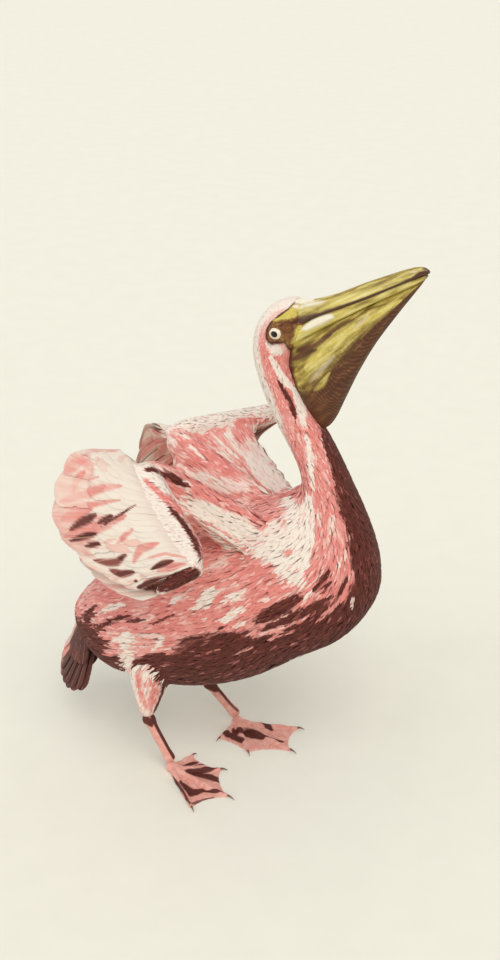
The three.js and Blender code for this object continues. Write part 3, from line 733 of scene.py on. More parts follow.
def fan_marks(part, t, angle):
    """How cream the feathers fanning from the shoulder are: long streaks away from it."""
    side = 0.5 - 0.5 * np.cos(angle)
    lie = streaks(t * 0.22, side * 2.2 + 0.3 * np.sign(np.sin(angle)), len(part) * 7)
    bias = {"upper_arm": 0.0, "fold": 0.1, "scapular": -0.1, "thigh": 0.16}
    return 0 * t, smooth(lie + bias.get(part, 0.6), 0.4, 0.8)


def coat_marks(region, t, angle, p):
    """How brown and how cream the bird is at places of one of its fleshy forms: two columns."""
    part = region.rpartition("_")[0]
    marks = body_marks(t, angle) if region == "body" else fan_marks(part, t, angle)
    ragged = (0.15 if part in ("forearm", "arm", "hand") else 0.5) * (
        streaks(p[:, 0] / 90, (p[:, 1] + p[:, 2]) / 40, 13) - 0.5)
    side = near_side(p) if part in ("", "thigh") else p
    return brushed(side, np.stack(marks, axis=1), "bc", COAT_STROKES, ragged)


def wing_marks(side, t, share, p, flat):
    """The same for places on a wing's long feathers: cream, deep rose towards the tips."""
    lie = streaks(share * 0.25, t * 2.4, 31 + side)
    edge = between_rows(t, (0, 0.75), (0.3, 0.55), (0.6, 0.7), (1, 0.9))
    cream = 1 - 0.6 * smooth(share + (lie - 0.5) * 0.5, edge - 0.06, edge + 0.2) * (0.6 + 0.8 * lie)
    layers = np.stack([0 * cream, cream], axis=1)
    soft = 0.5 * (noise(share * 6, t * 9, 35) - 0.5)
    return brushed(p, layers, "bc", NEAR_WING_STROKES, soft, flat, 0.5) if side < 0 else layers


# ---------------------------------------------------------------- the face
EYE_OPENING = 6.9
LID_RADIUS = EYE_RADIUS + 0.9
# The round pad before the eye: its middle along the bill's closing line and above it.
PAD = (14, 15)
# The outline of the face's bare skin, along the bill's closing line and above it.
FACE_OUTLINE = ((60, 62), (46, 55), (33, 50), (8, 46), (-13, 41), (-28, 31), (-37, 17), (-39, 4), (-33, -4),
                (-20, -7), (-9, -12), (-14, -30), (-28, -52), (-38, -80), (60, -90))


def bill_frame(p):
    """Distance along the bill's closing line and above it, for places with the head facing forward."""
    dx, dz = p[..., 0] - BILL_ROOT[0], p[..., 2] - BILL_ROOT[1]
    c, s = math.cos(BILL_PITCH), math.sin(BILL_PITCH)
    return dx * c + dz * s, -dx * s + dz * c


def bare_face(p):
    """How far a place lies inside the bare skin of the face, in mm, and below 0 outside it.

    The least distance from the outline's edges in the side view; a ray's count of crossings
    gives the sign.
    """
    x, y = bill_frame(look_aside(p, -HEAD_TURN))
    least, inside = np.full(np.shape(x), 1e9), np.full(np.shape(x), False)
    for (ax, ay), (bx, by) in zip(FACE_OUTLINE, FACE_OUTLINE[1:] + FACE_OUTLINE[:1]):
        dx, dy = bx - ax, by - ay
        share = np.clip(((x - ax) * dx + (y - ay) * dy) / (dx ** 2 + dy ** 2), 0, 1)
        least = np.minimum(least, np.hypot(x - ax - share * dx, y - ay - share * dy))
        inside ^= ((ay > y) != (by > y)) & (x < dx * (y - ay) / (dy or 1e-9) + ax)
    return np.where(inside, least, -least)


def eye_polar(p):
    """Distance from the nearer eye's centre in the side view, and the side that it is on."""
    q = look_aside(p, -HEAD_TURN)
    ahead, up = q[..., 0] - EYE_PLACE[0], q[..., 2] - EYE_PLACE[2]
    return np.hypot(ahead * 0.95, up * 1.04), np.where(q[..., 1] < 0, -1.0, 1.0)


def sculpted_face(p):
    """The head's skin with lids, the round pad before the eye and the fold behind the gape.

    Sideways, the lid is the eyeball's own sphere made 0.9 mm larger, joined to the head by the
    root of a sum of squares, with a bead at its rim; inside the opening the skin dips behind
    the ball. A cosine swells the pad, and a bell curve presses the fold in.
    """
    q = look_aside(p, -HEAD_TURN)
    r, side = eye_polar(p)
    wide = np.abs(q[..., 1])
    near = 1 - smooth(r, 22, 30)
    lid = EYE_PLACE[1] + np.sqrt(np.maximum(LID_RADIUS ** 2 - r * r, 0))
    gap = np.where(r < LID_RADIUS, lid, 0) - wide
    raised = wide + np.maximum(gap, 0) + 0.6 * np.exp(-(gap / 1.4) ** 2) * (r < 14)
    raised = raised + 0.55 * np.exp(-((r - EYE_OPENING - 0.5) / 0.6) ** 2)
    raised = raised - 0.8 * np.exp(-((r - 11.4) / 1.0) ** 2)
    raised = raised + 0.18 * np.sin((r - 7) * 2 * np.pi / 1.7) * smooth(r, 7.6, 8.4) * (1 - smooth(r, 10, 12))
    hidden = EYE_PLACE[1] - 3
    raised = mix(hidden, raised, smooth(r, EYE_OPENING - 1.3, EYE_OPENING))
    wide = mix(wide, raised, near)
    along, above = bill_frame(q)
    pad = np.hypot(along - PAD[0], above - PAD[1])
    wide = wide + 1.5 * (0.5 + 0.5 * np.cos(np.pi * np.clip(pad / 9, 0, 1))) * (pad < 9)
    fold = np.exp(-(((above + 5 + 0.12 * along) / 2.2) ** 2))
    wide = wide - 1.6 * (fold * smooth(along, -34, -24) * (1 - smooth(along, 8, 20)))
    q[..., 1] = side * wide
    return look_aside(q)


# ---------------------------------------------------------------- skin
VOXEL = 5.5
# Beyond these places the skin is cut finer, and finer still so near the eye.
HEAD_ABOVE, HEAD_AHEAD, EYE_REGION = 1040, 120, 24
FLESH_NODES = ["trunk", "neck_lower", "neck_upper", "head"]
for _side in SIDES:
    FLESH_NODES.append("thigh_" + _side)
    FLESH_NODES += [f"wing_{_side}_{part}" for part in ("upper_arm", "forearm", "hand", "fold", "scapulars")]


def nearest(points, cloud, block=2048):
    """For each point the index of the nearest cloud point: the least |c|^2 - 2 p.c, block by block."""
    cloud = cloud.astype(np.float32)
    square = np.sum(cloud * cloud, axis=1)
    found = np.empty(len(points), np.int64)
    for first in range(0, len(points), block):
        part = points[first:first + block].astype(np.float32)
        found[first:first + block] = np.argmin(square - 2 * part @ cloud.T, axis=1)
    return found


def inner(form, t, angle):
    """A form's skin: its surface, sunk by the depth of the coat."""
    return form["surface"](t, angle, -form["sink"](t))


def located(form, p, t, angle):
    """Gauss-Newton steps from (t, angle) to the place on a form's skin nearest to each point."""
    for _ in range(4):
        here = inner(form, t, angle)
        by_t = (inner(form, t + 1e-4, angle) - here) / 1e-4
        by_angle = (inner(form, t, angle + 1e-4) - here) / 1e-4
        off = p - here
        e, f, g = dot(by_t, by_t)[:, 0], dot(by_t, by_angle)[:, 0], dot(by_angle, by_angle)[:, 0]
        u, v = dot(by_t, off)[:, 0], dot(by_angle, off)[:, 0]
        det = np.maximum(e * g - f * f, 1e-3)
        t = np.clip(t + np.clip((g * u - f * v) / det, -0.03, 0.03), 0.002, 0.998)
        angle = angle + np.clip((e * v - f * u) / det, -0.3, 0.3)
    return t, angle


def skin_places(forms, p):
    """Each point's form, and its t and angle there."""
    clouds, keys = [], []
    for key, form in forms.items():
        steps, sides = (100, 44) if key == "body" else (20, 20)
        t, angle = surface_grid(steps - 1, sides, (0.01, 0.99))
        clouds.append(inner(form, t, angle).reshape(-1, 3))
        keys.append(np.stack([np.full(t.size, len(keys)), t.ravel(), angle.ravel()], axis=1))
    keys = np.concatenate(keys)[nearest(p, np.concatenate(clouds))]
    region, t, angle = keys[:, 0].astype(int), keys[:, 1], keys[:, 2]
    for index, form in enumerate(forms.values()):
        here = region == index
        t[here], angle[here] = located(form, p[here], t[here], angle[here])
    return region, t, angle


def refine(mesh, chosen, cuts):
    """Cuts the edges whose two ends are both chosen."""
    bm = bmesh.new()
    bm.from_mesh(mesh)
    bm.verts.ensure_lookup_table()
    edges = [e for e in bm.edges if chosen[e.verts[0].index] and chosen[e.verts[1].index]]
    bmesh.ops.subdivide_edges(bm, edges=edges, cuts=cuts, use_grid_fill=True)
    bmesh.ops.triangulate(bm, faces=[f for f in bm.faces if len(f.verts) > 4])
    bm.to_mesh(mesh)
    bm.free()


def spread(values, edges, rounds):
    """Values averaged with their neighbours', half and half, round after round."""
    count = len(values)
    ends = np.concatenate([edges[:, 0], edges[:, 1]])
    others = np.concatenate([edges[:, 1], edges[:, 0]])
    degree = np.maximum(np.bincount(ends, minlength=count), 1)
    for _ in range(rounds):
        total = [np.bincount(ends, column[others], minlength=count) for column in values.T]
        values = 0.5 * values + 0.5 * np.stack(total, axis=1) / degree[:, None]
    return values


def face_marks(p):
    """Layers on the bare face: dark rims and pad, yellow over the eye, the pale ring of the lid, and painted
    highlights where the bill's pale strokes reach it.
    """
    r = eye_polar(p)[0]
    along, above = bill_frame(look_aside(p, -HEAD_TURN))
    lie = noise(along / 4, above / 3, 41)
    rim = 1 - smooth(bare_face(p), 2.5, 5.5)
    layers = np.stack([0.8 * rim, 0.2 * smooth(lie, 0.5, 0.9), 0 * r], axis=1)
    layers = brushed(near_side(p), layers, "byc", FACE_STROKES + HEAD_STROKES, 0.4 * (lie - 0.5), soft=0.5)
    pad = np.hypot(along - PAD[0], above - PAD[1])
    layers *= mix(0.25, 1, smooth(pad, 9, 11))[:, None]
    layers[:, 0] = np.maximum(layers[:, 0], 0.8 * np.exp(-((pad - 11) / 1.8) ** 2))
    ring = smooth(r, EYE_OPENING - 0.2, EYE_OPENING + 0.8) * (1 - smooth(r + 1.5 * lie, 12.0, 13.2))
    layers *= 1 - ring[:, None]
    layers[:, 2] += ring
    layers[r < EYE_OPENING - 0.4] = (1, 0, 0)
    return layers


def build_skin(material):
    """One skin under the whole coat, with the lie and length of the coat kept on its points."""
    forms = flesh_forms()
    obj = remeshed("Skin", [closed_tube(functools.partial(inner, form), *form["grid"])[:3]
                            for form in forms.values()], VOXEL, 7)
    mesh = obj.data
    p = vertices_of(mesh)
    refine(mesh, (p[:, 2] > HEAD_ABOVE) & (p[:, 0] > HEAD_AHEAD), 1)
    p = vertices_of(mesh)
    refine(mesh, (eye_polar(p)[0] < EYE_REGION) & (p[:, 2] > HEAD_ABOVE + 30), 2)
    p = vertices_of(mesh)
    region, t, angle = skin_places(forms, p)
    body = region == 0
    upper = body & (t > 0.6)
    depth = spline(COAT_DEPTH, t)[..., 0]
    bare = smooth(bare_face(p), -1.5, 1.5) * upper
    exact = body_surface(t, angle, -depth + bare * (depth - 0.3))
    p = np.where(upper[:, None], mix(p, exact, smooth(t, 0.6, 0.7)[:, None]), p)
    face = body & (t > 0.7)
    p[face] = sculpted_face(p[face])
    place_points(mesh, p)
    mesh.update()
    lie, length, sink = np.zeros_like(p), np.zeros(len(p)), np.zeros(len(p))
    marks = np.zeros((len(p), 4))
    for index, (key, form) in enumerate(forms.items()):
        here = region == index
        lie[here] = unit(form["lie"](t[here], angle[here], p[here]))
        length[here], sink[here] = form["length"](t[here]), form["sink"](t[here])
        marks[here, :2] = coat_marks(key, t[here], angle[here], p[here])
    normal = normals_of(mesh)
    field = spread(np.column_stack([lie, length, np.maximum(sink, 1.2)]),
                   fetched(mesh.edges, "vertices", 2, np.int32), 14)
    lie = field[:, :3] - normal * dot(field[:, :3], normal)
    marks[:, 2] = smooth(bare_face(p), -1, 1) * face
    marks[:, 3] = 0
    paint(mesh, "Markings", marks)
    paint(mesh, "Face", face_marks(p))
    for name, kind, key, values in (("Lie", "FLOAT_VECTOR", "vector", unit(lie)),
                                    ("Length", "FLOAT", "value", field[:, 3]),
                                    ("Depth", "FLOAT", "value", field[:, 4]),
                                    ("Region", "FLOAT", "value", region),
                                    ("Place", "FLOAT_VECTOR", "vector", np.stack([t, angle, 0 * t], axis=1))):
        mesh.attributes.new(name, kind, "POINT").data.foreach_set(key, values.astype(np.float32).ravel())
    as_piece(obj, "plumage", material, *FLESH_NODES)




# ---------------------------------------------------------------- coat
# A vane is a thin closed lens: a root point, then at each station a left, top, right and bottom
# point, then a tip point. Stations are shares of its length; the widths are shares of its own.
SOFT_VANE = ((0.22, 0.6), (0.55, 1.0), (0.84, 0.62))
# The share of its length by its width that a vane covers.
VANE_FILL = 0.7
# A vane's patch of the UV map, as a share of the whole.
PATCH = 0.003


def vane_faces(stations, count):
    """Triangles of count vanes: fans at both ends and two for each side between stations."""
    one = []
    last = 1 + 4 * (stations - 1)
    tip = last + 4
    for k in range(4):
        after = (k + 1) % 4
        one.append((0, 1 + k, 1 + after))
        one.append((tip, last + after, last + k))
        for ring in range(1, last, 4):
            a, b = ring + k, ring + after
            one += [(a, b + 4, b), (a, a + 4, b + 4)]
    size = tip + 1
    return (np.array(one)[None] + size * np.arange(count)[:, None, None]).reshape(-1, 3), size


def vane_mesh(name, spine, normal, width, marks, places, chance):
    """All vanes of one piece of the coat, from their spines.

    spine: roots, stations and tips; the way across is the normal crossed with the way along.
    Each vane's edges lie a little lower than its middle, as a shallow roof. Its faces are lit
    as a blend of their own way and the skin's, as a soft coat is, and those beneath the other way.
    """
    count, steps = spine.shape[0], spine.shape[1] - 2
    along = unit(spine[:, 2:] - spine[:, :-2])
    across = unit(np.cross(normal[:, 1:-1], along))
    up = np.cross(along, across)
    half = (width[:, None] * np.array([w for _, w in SOFT_VANE])[None] / 2)[..., None]
    thick = 0.3 + 0.03 * half
    middle = spine[:, 1:-1]
    ring = np.stack([middle - across * half - up * half * 0.16, middle + up * thick,
                     middle + across * half - up * half * 0.16, middle - up * (thick * 0.4)], axis=2)
    points = np.concatenate([spine[:, :1], ring.reshape(count, -1, 3), spine[:, -1:]], axis=1)
    faces, size = vane_faces(steps, count)
    mesh = make_mesh(name, points.reshape(-1, 3), faces)
    soft = unit(up + 1.4 * normal[:, 1:-1])
    lit = np.stack([unit(soft - 0.3 * across), soft, unit(soft + 0.3 * across), soft], axis=2)
    at_tip = unit(up[:, -1:] + normal[:, -1:])
    lit = np.concatenate([normal[:, :1], lit.reshape(count, -1, 3), at_tip], axis=1)
    above = np.tile(np.repeat([1, 1, -1, -1], 2 * steps), count)[:, None, None]
    mesh.normals_split_custom_set((lit.reshape(-1, 3)[faces] * above).reshape(-1, 3).tolist())
    shares = np.array([0] + [s for s, _ in SOFT_VANE for _ in range(4)] + [1.0])
    sides = np.array([0.5] + [0.0, 0.5, 1.0, 0.5] * steps + [0.5])
    values = np.empty((count, size, 4))
    stations = np.concatenate([[0], np.repeat(np.arange(1, steps + 1), 4), [steps + 1]])
    values[..., :2] = marks[:, np.minimum(stations // 2, 1 + steps // 2)]
    values[..., 2] = chance[:, None]
    values[..., 3] = shares
    paint(mesh, "Markings", values.reshape(-1, 4))
    vane = np.stack([sides, shares], axis=-1)
    lay_out(mesh, "OFBake", (places[:, None, :] + ((vane - 0.5) * PATCH)[None]).reshape(-1, 2))
    lay_out(mesh, "Vane", np.tile(vane, (count, 1)))
    return mesh


def resting(points, skin, lift):
    """Points carried to the nearest places of a skin, and out from it by lift."""
    mesh = bpy.data.meshes.new("Points")
    mesh.vertices.add(len(points))
    place_points(mesh, points)
    obj = in_scene("Points", mesh)
    wrap = obj.modifiers.new("Wrap", "SHRINKWRAP")
    wrap.target = skin
    wrap.wrap_method = "NEAREST_SURFACEPOINT"
    wrap.wrap_mode = "ABOVE_SURFACE"
    wrap.offset = lift / 1000
    result = vertices_of(settled(obj))
    mesh = obj.data
    bpy.data.objects.remove(obj)
    bpy.data.meshes.remove(mesh)
    return result


def combed(root, lie, length, depth, skin, stiffness):
    """Spines that run from their roots along the skin and rise through the coat to its surface.

    Each step goes straight on and comes to rest on the skin, but never bends away from its
    straight way by more than stiffness times the step, so that a vane hangs over an edge.
    """
    shares = [0] + [s for s, _ in SOFT_VANE] + [1.0]
    base, way = root, lie
    spine, normals = [], []
    for index, share in enumerate(shares):
        if index:
            step = (share - shares[index - 1]) * length[:, None]
            straight = base + way * step
            pull = resting(straight, skin, 0.0) - straight
            reach = np.linalg.norm(pull, axis=1, keepdims=True)
            arrived = straight + pull * np.minimum(1, stiffness * step / np.maximum(reach, 1e-6))
            way = unit(arrived - base)
            base = arrived
        normal = unit(resting(base, skin, 1.0) - resting(base, skin, 0.0))
        if index:
            # Past an edge the skin's way turns over; the vane keeps its own.
            normal = np.where(dot(normal, normals[-1]) > 0.4, normal, 0) + 0.5 * normals[-1]
            normal = unit(normal - way * dot(normal, way))
        rise = depth[:, None] * (0.15 + 0.7 * smooth(share, 0, 0.45) + 0.15 * share)
        spine.append(base + normal * rise)
        normals.append(normal)
    return np.stack(spine, axis=1), np.stack(normals, axis=1)


def scattered(skin, cover, slimness, rng):
    """Roots strewn over the skin so densely that cover vanes lie over every place.

    A triangle's share of the roots is its area by the density cover / (fill length width), and
    roots are dealt out along the running total, one to each whole step of it.
    """
    mesh = skin.data
    mesh.calc_loop_triangles()
    corners = fetched(mesh.loop_triangles, "vertices", 3, np.int32)
    p = vertices_of(mesh)
    layer = lambda name, key, width: fetched(mesh.attributes[name].data, key, width).astype(float)
    length = layer("Length", "value", 1)[:, 0]
    a, b, c = (p[corners[:, k]] for k in range(3))
    area = np.linalg.norm(np.cross(b - a, c - a), axis=1) / 2
    middle = length[corners].mean(axis=1)
    density = cover / (VANE_FILL * middle * feather_width(middle, slimness))
    total = np.cumsum(area * density)
    picks = np.arange(int(total[-1])) + rng.random(int(total[-1]))
    chosen = np.minimum(np.searchsorted(total, picks), len(corners) - 1)
    u, v = np.sqrt(rng.random(len(chosen))), rng.random(len(chosen))
    weight = np.stack([1 - u, u * (1 - v), u * v], axis=1)
    near = corners[chosen, np.argmax(weight, axis=1)]
    blend = lambda values: np.einsum("ij,ijk->ik", weight, values[corners[chosen]])
    return {
        "root": blend(p), "lie": blend(layer("Lie", "vector", 3)), "normal": unit(blend(normals_of(mesh))),
        "length": blend(length[:, None])[:, 0], "depth": blend(layer("Depth", "value", 1))[:, 0],
        "region": layer("Region", "value", 1)[near, 0].astype(int),
        "place": layer("Place", "vector", 3)[near, :2],
    }


def feather_width(length, slimness):
    """Wider for longer feathers, in mm."""
    return 1.3 + slimness * length


def coat_piece(region, t, angle):
    """The piece of the coat that a place of the skin belongs to."""
    part, _, name = region.rpartition("_")
    if region == "body":
        low = np.cos(angle) < -0.05
        return np.select(
            [t > 0.715, t > 0.46, (t > 0.29) & low, (t > 0.1) & low, t > 0.1],
            ["Coat_head", "Coat_neck", "Coat_breast", "Coat_belly", "Coat_back"], "Coat_rump")
    place = {"thigh": "thigh", "upper_arm": "shoulder", "scapular": "shoulder", "fold": "shoulder"}
    return np.full(len(t), f"Coat_{place.get(part, 'wing')}_{name}")


def grow_coat(skin, cover, slimness, seed, material):
    """The body feathers, strewn over the skin and combed along it, in a few pieces."""
    rng = np.random.default_rng(seed)
    forms = flesh_forms()
    feathers = scattered(skin, cover, slimness, rng)
    keep = bare_face(feathers["root"]) < 0.8
    keep |= (feathers["region"] > 0) | (feathers["place"][:, 0] < 0.7)
    feathers = {key: values[keep] for key, values in feathers.items()}
    count = len(feathers["root"])
    pieces = np.empty(count, dtype="U24")
    t, angle = feathers["place"].T.copy()
    for index, (key, form) in enumerate(forms.items()):
        here = feathers["region"] == index
        t[here], angle[here] = located(form, feathers["root"][here], t[here], angle[here])
        pieces[here] = coat_piece(key, t[here], angle[here])
    normal = feathers["normal"]
    lie = feathers["lie"] - normal * dot(feathers["lie"], normal)
    aside = np.cross(normal, unit(lie))
    lie = unit(unit(lie) + aside * (rng.normal(0, 0.13, count)[:, None]))
    length = feathers["length"] * rng.uniform(0.8, 1.2, count)
    depth = feathers["depth"] * rng.uniform(0.75, 1.0, count)
    spine, normals = combed(feathers["root"], lie, length, depth, skin, 0.5)
    width = feather_width(feathers["length"], slimness) * rng.uniform(0.85, 1.15, count)
    chance = rng.random(count)
    # Markings at the root, the middle and the tip, each vane's own slipped a little along it.
    marks = np.zeros((count, 3, 2))
    slip = (rng.normal(0, 0.14, count) * ~np.char.startswith(pieces, "Coat_wing"))[:, None]
    for station, back in ((0, 1), (1, 2), (2, 4)):
        place = spine[:, back] + lie * length[:, None] * slip
        for index, (key, form) in enumerate(forms.items()):
            here = feathers["region"] == index
            spot = place[here]
            marks[here, station] = coat_marks(key, *located(form, spot, t[here], angle[here]), spot)
    unwrap = np.stack([np.mod(angle, 2 * np.pi) / (2 * np.pi), t], axis=1)
    for name in sorted(set(pieces)):
        here = pieces == name
        low, high = unwrap[here].min(axis=0), unwrap[here].max(axis=0)
        places = 0.01 + 0.98 * (unwrap[here] - low) / np.maximum(high - low, 1e-6)
        mesh = vane_mesh(name, spine[here], normals[here], width[here], marks[here], places, chance[here])
        add_object(name, mesh, "plumage", material)


# ---------------------------------------------------------------- long feathers
SECONDARIES = 8
PRIMARIES = 5
TAIL_FEATHERS = 8
TAIL_LENGTH = 226.0
TAIL_ROOT = (-276.0, -6.0, 330.0)
TAIL_DROP, TAIL_SPREAD, TAIL_TWIST = (math.radians(a) for a in (62, 24, -38))


def sheet_of(edges, crown):
    """A surface function over a wing's sheet: a share of its span, a share of its chord, and a
    height along the way that it faces, over the crown's parabola."""
    leading, trailing, way = edges

    def sheet(t, share, height):
        start = spline(leading, t)
        chord = spline(trailing, t) - start
        share, height = np.asarray(share)[..., None], np.asarray(height)[..., None]
        return start + chord * share + way * (height + crown * 4 * share * (1 - share))
    return sheet


def tail_sheet(t, share, height):
    """The tail's fan: t from -1 to 1 across it, share from root to tips, and a height.

    Straight out by length times share at the feather's own turn, arched by the square of t,
    then laid over to one side, dropped and carried to the tail's root.
    """
    turn = t * TAIL_SPREAD
    distance = mix(4, TAIL_LENGTH - 46 * t * t, share)
    x, y = distance * np.cos(turn), distance * np.sin(turn) + t * 20
    z = 18 * t * t * share + height
    c, s = math.cos(TAIL_TWIST), math.sin(TAIL_TWIST)
    y, z = y * c - z * s, y * s + z * c
    c, s = math.cos(math.pi - TAIL_DROP), math.sin(math.pi - TAIL_DROP)
    return np.stack([x * c + z * s, y, -x * s + z * c], axis=-1) + np.array(TAIL_ROOT)


def long_feather(sheet, middle, half, ends, height, tilt, seed, blunt=2.6, rounding=0.13, grid=(24, 14)):
    """One long vane on a sheet, as points, quads, triangles, and the marks of its own lay.

    Across, u runs from -1 to 1 by a cosine; along, v from root to tip. The outline is half the
    width times a superellipse of power blunt near the tip and a narrow quill at the root. The
    faces part by a lens, with a raised shaft along the middle; tilt lifts one edge over the
    next feather, and two slow waves keep any two vanes from being alike.
    """
    rng = np.random.default_rng(seed)
    low, high = ends
    wave, phase = rng.uniform(0.3, 0.9), rng.uniform(0, 6.3)
    reach = high - low

    def surface(v, angle):
        u = np.cos(angle)
        late = np.clip((v - 1 + rounding) / rounding, 0, 1)
        outline = mix(0.14, 1, smooth(v, 0.0, 0.24)) * (1 - late ** blunt) ** (1 / blunt)
        nick = 1 - 0.07 * smooth(noise(v * 26 + seed, np.sign(u) * 3, seed), 0.72, 0.8)
        side = np.abs(u) ** 1.15 * np.sign(u) * outline * nick
        t = middle + half * side
        share = low + reach * v * (1 - 0.012 * u * u)
        shaft = 0.9 * np.exp(-(u / 0.1) ** 2) * (1 - 0.8 * v) * np.sign(np.sin(angle))
        lens = (0.55 + 0.5 * (1 - v)) * np.sin(angle)
        curl = wave * np.sin(v * 5 + phase) * u
        droop = -0.8 * u * u
        lifted = height(v) + tilt * side + lens + shaft * (np.abs(np.sin(angle)) > 0.5) + curl + droop
        return sheet(t, share, lifted)

    denser = lambda k: 1 - (1 - np.clip(k, 0, 1)) ** 1.6
    points, quads, tris, (v, angle) = closed_tube(lambda k, a: surface(denser(k), a), *grid)
    v = denser(v)
    ring = np.stack([v.ravel(), 0.5 + 0.5 * np.cos(angle).ravel()], axis=1)
    lay = np.concatenate([[[0, 0.5]], ring, [[1, 0.5]]])
    return points, quads, tris, lay


def feather_set(name, vanes, slot, material, *nodes):
    """Joins long feathers to one piece. Each vane: its shell, its place, marks(v, u) and chance."""
    points, quads, tris = joined([vane[:3] for vane in vanes])
    mesh = make_mesh(name, points, quads, tris)
    values, patches, lays = [], [], []
    for shell, _, _, lay, place, marks, chance in vanes:
        v, u = lay.T
        values.append(np.column_stack([marks(v, 2 * u - 1, shell), chance + 0 * v, v]))
        patches.append(np.array(place) + (lay[:, ::-1] - 0.5) * 12 * PATCH)
        lays.append(lay[:, ::-1])
    paint(mesh, "Markings", np.concatenate(values))
    lay_out(mesh, "OFBake", np.concatenate(patches))
    lay_out(mesh, "Vane", np.concatenate(lays))
    add_object(name, mesh, slot, material, *nodes)


def lens_height(share, thick=44.0, thin=5.0):
    """Half the thickness of a wing's blade at a share of its chord."""
    return mix(thick, thin, np.sqrt(share)) * np.sqrt(np.maximum(share * (1 - share), 0))


def row_of(sheet, count, span, ends, width, lift, tilt, seed, marks, rng, band, **shape):
    """A row of like vanes along a sheet, each a little its own length and tone. The lift over the
    sheet is a function of the way along a vane, or its values at root and tip."""
    vanes = []
    low, high = span
    height = lift if callable(lift) else lambda v: mix(*lift, v)
    for index in range(count):
        middle = mix(low, high, (index + 0.5) / count) + rng.normal(0, 0.08) / count * (high - low)
        reach = (ends[0], ends[1] * rng.uniform(0.985, 1.0))
        half = width * (high - low) / count
        vane = long_feather(sheet, middle, half, reach, height, tilt, seed + index, **shape)
        own = lambda v, u, p, middle=middle, half=half, reach=reach: marks(
            middle + half * u, mix(*reach, v), p)
        place = (0.03 + 0.94 * middle if low >= 0 else 0.5 + 0.45 * middle, band + 0.02 * (index % 2))
        vanes.append(vane + (place, own, rng.random()))
    return vanes


def build_wing(name, feather, quill):
    """The flight feathers of one wing and the rows of coverts that roof them, on both faces."""
    side = SIDES[name]
    rng = np.random.default_rng(40 + side)
    edges = wing_edges(name)
    arm, hand = sheet_of(edges["arm"], 16), sheet_of(edges["hand"], 2)
    seed = 100 * (2 + side)
    marks = lambda t, share, p: wing_marks(side, t, share, p, edges["arm"][2])
    under = lambda t, share, p: np.stack([0 * t, smooth(noise(t * 30, share * 6, seed), 0.35, 0.7)], axis=1)
    # The near wing's finer meshes carry its brushed markings.
    fine = ((110, 44), (44, 26)) if side < 0 else ((48, 32), (24, 14))
    lobes = row_of(arm, SECONDARIES, (0, 1), (0.06, 1.0), 0.74, (6, 0.6), 2.4, seed, marks, rng, 0.1,
                   grid=fine[0])
    lobes += row_of(arm, SECONDARIES - 1, (0.5 / SECONDARIES, 1 - 0.5 / SECONDARIES), (0.06, 0.965), 0.6,
                    (1, -1.6), 2.0, seed + 20, marks, rng, 0.2, grid=(48, 32))
    lobes += row_of(arm, SECONDARIES, (0, 1), (0.06, 0.95), 0.66, (-6, -3), 2.0, seed + 40, under, rng, 0.3)
    feather_set(f"Secondaries_{name}", lobes, "plumage", feather, f"wing_{name}_secondaries")
    dark = lambda t, share, p: wing_marks(side, t, 0 * t + 0.8, p, edges["hand"][2])
    fan = row_of(hand, PRIMARIES, (0, 1), (0.0, 1.0), 0.78, (1, 0.4), 2.0, seed + 60, dark, rng, 0.4)
    fan += row_of(hand, PRIMARIES - 1, (0.1, 0.9), (0.0, 0.97), 0.7, (-2, -1.8), 1.6, seed + 70, dark,
                  rng, 0.5)
    if side > 0:
        for face in (3, -4):
            fan += row_of(hand, 7, (0, 1), (0.0, 0.42), 1.0, (face, 0.5 * face), 1.5, seed + 90, dark,
                          rng, 0.6)
    feather_set(f"Primaries_{name}", fan, "quill", quill, f"wing_{name}_primaries")
    roof = []
    coverts = ((17, (0.10, 0.66), 1.4, 0.9), (21, (0.06, 0.50), 2.6, 1.0), (25, (0.03, 0.36), 3.4, 1.1))
    for index, (count, ends, rise, wide) in enumerate(coverts):
        for face in (1, -1):
            lift = lambda v, ends=ends, rise=rise, face=face: face * (
                lens_height(mix(*ends, v)) * 0.9 + rise * (0.3 + 0.7 * v)) - 1.2 * (face < 0)
            tone, grid = (marks, fine[1]) if face > 0 else (under, (18, 12))
            roof += row_of(arm, count, (0, 1), ends, wide, lift, face * 1.6, seed + 80 + 30 * index, tone,
                           rng, 0.55 + 0.1 * index, blunt=2.2, rounding=0.3, grid=grid)
    feather_set(f"Coverts_{name}", roof, "plumage", feather)


def build_tail(quill):
    """The tail's fan of blunt feathers, dark brown over most of it as painted shade of its hanging underside,
    with coverts over and under its root.
    """
    rng = np.random.default_rng(9)
    tone = lambda t, share, p: np.stack([1 - smooth(t + 0.2 * (noise(t * 9, share * 4, 2) - 0.5), 0.2, 0.34),
                                         0.3 * smooth(t, 0.6, 0.9)], axis=1)
    vanes = row_of(tail_sheet, TAIL_FEATHERS, (-1, 1), (0.05, 1.0), 0.78, (10, 0.6), 1.8, 700, tone, rng, 0.1)
    vanes += row_of(tail_sheet, TAIL_FEATHERS - 1, (-0.87, 0.87), (0.05, 0.97), 0.7, (0, -1), 1.6, 720, tone,
                    rng, 0.2)
    # The coverts are rosy with a pale rim on the back, and brown towards the bird's right and below,
    # the brown being painted shade.
    covers = lambda t, share, p: np.stack([
        smooth(0.4 - t + 0.5 * (noise(t * 20, share * 5, 4) - 0.5), -0.1, 0.15),
        0.5 * smooth(share, 0.3, 0.6)], axis=1)
    for face in (1, -1):
        for index, (count, reach) in enumerate(((8, 0.62), (8, 0.46), (7, 0.32))):
            lift = lambda v, face=face, index=index, reach=reach: face * (
                mix(52, 3, (v * reach) ** 0.6) * 0.72 + 1.5 * index)
            vanes += row_of(tail_sheet, count, (-1, 1), (0.0, reach), 1.15, lift, face * 1.5,
                            740 + 20 * index, covers, rng, 0.4 + 0.1 * index, blunt=2.0, rounding=0.35)
    feather_set("Tail_fan", vanes, "quill", quill, "tail")


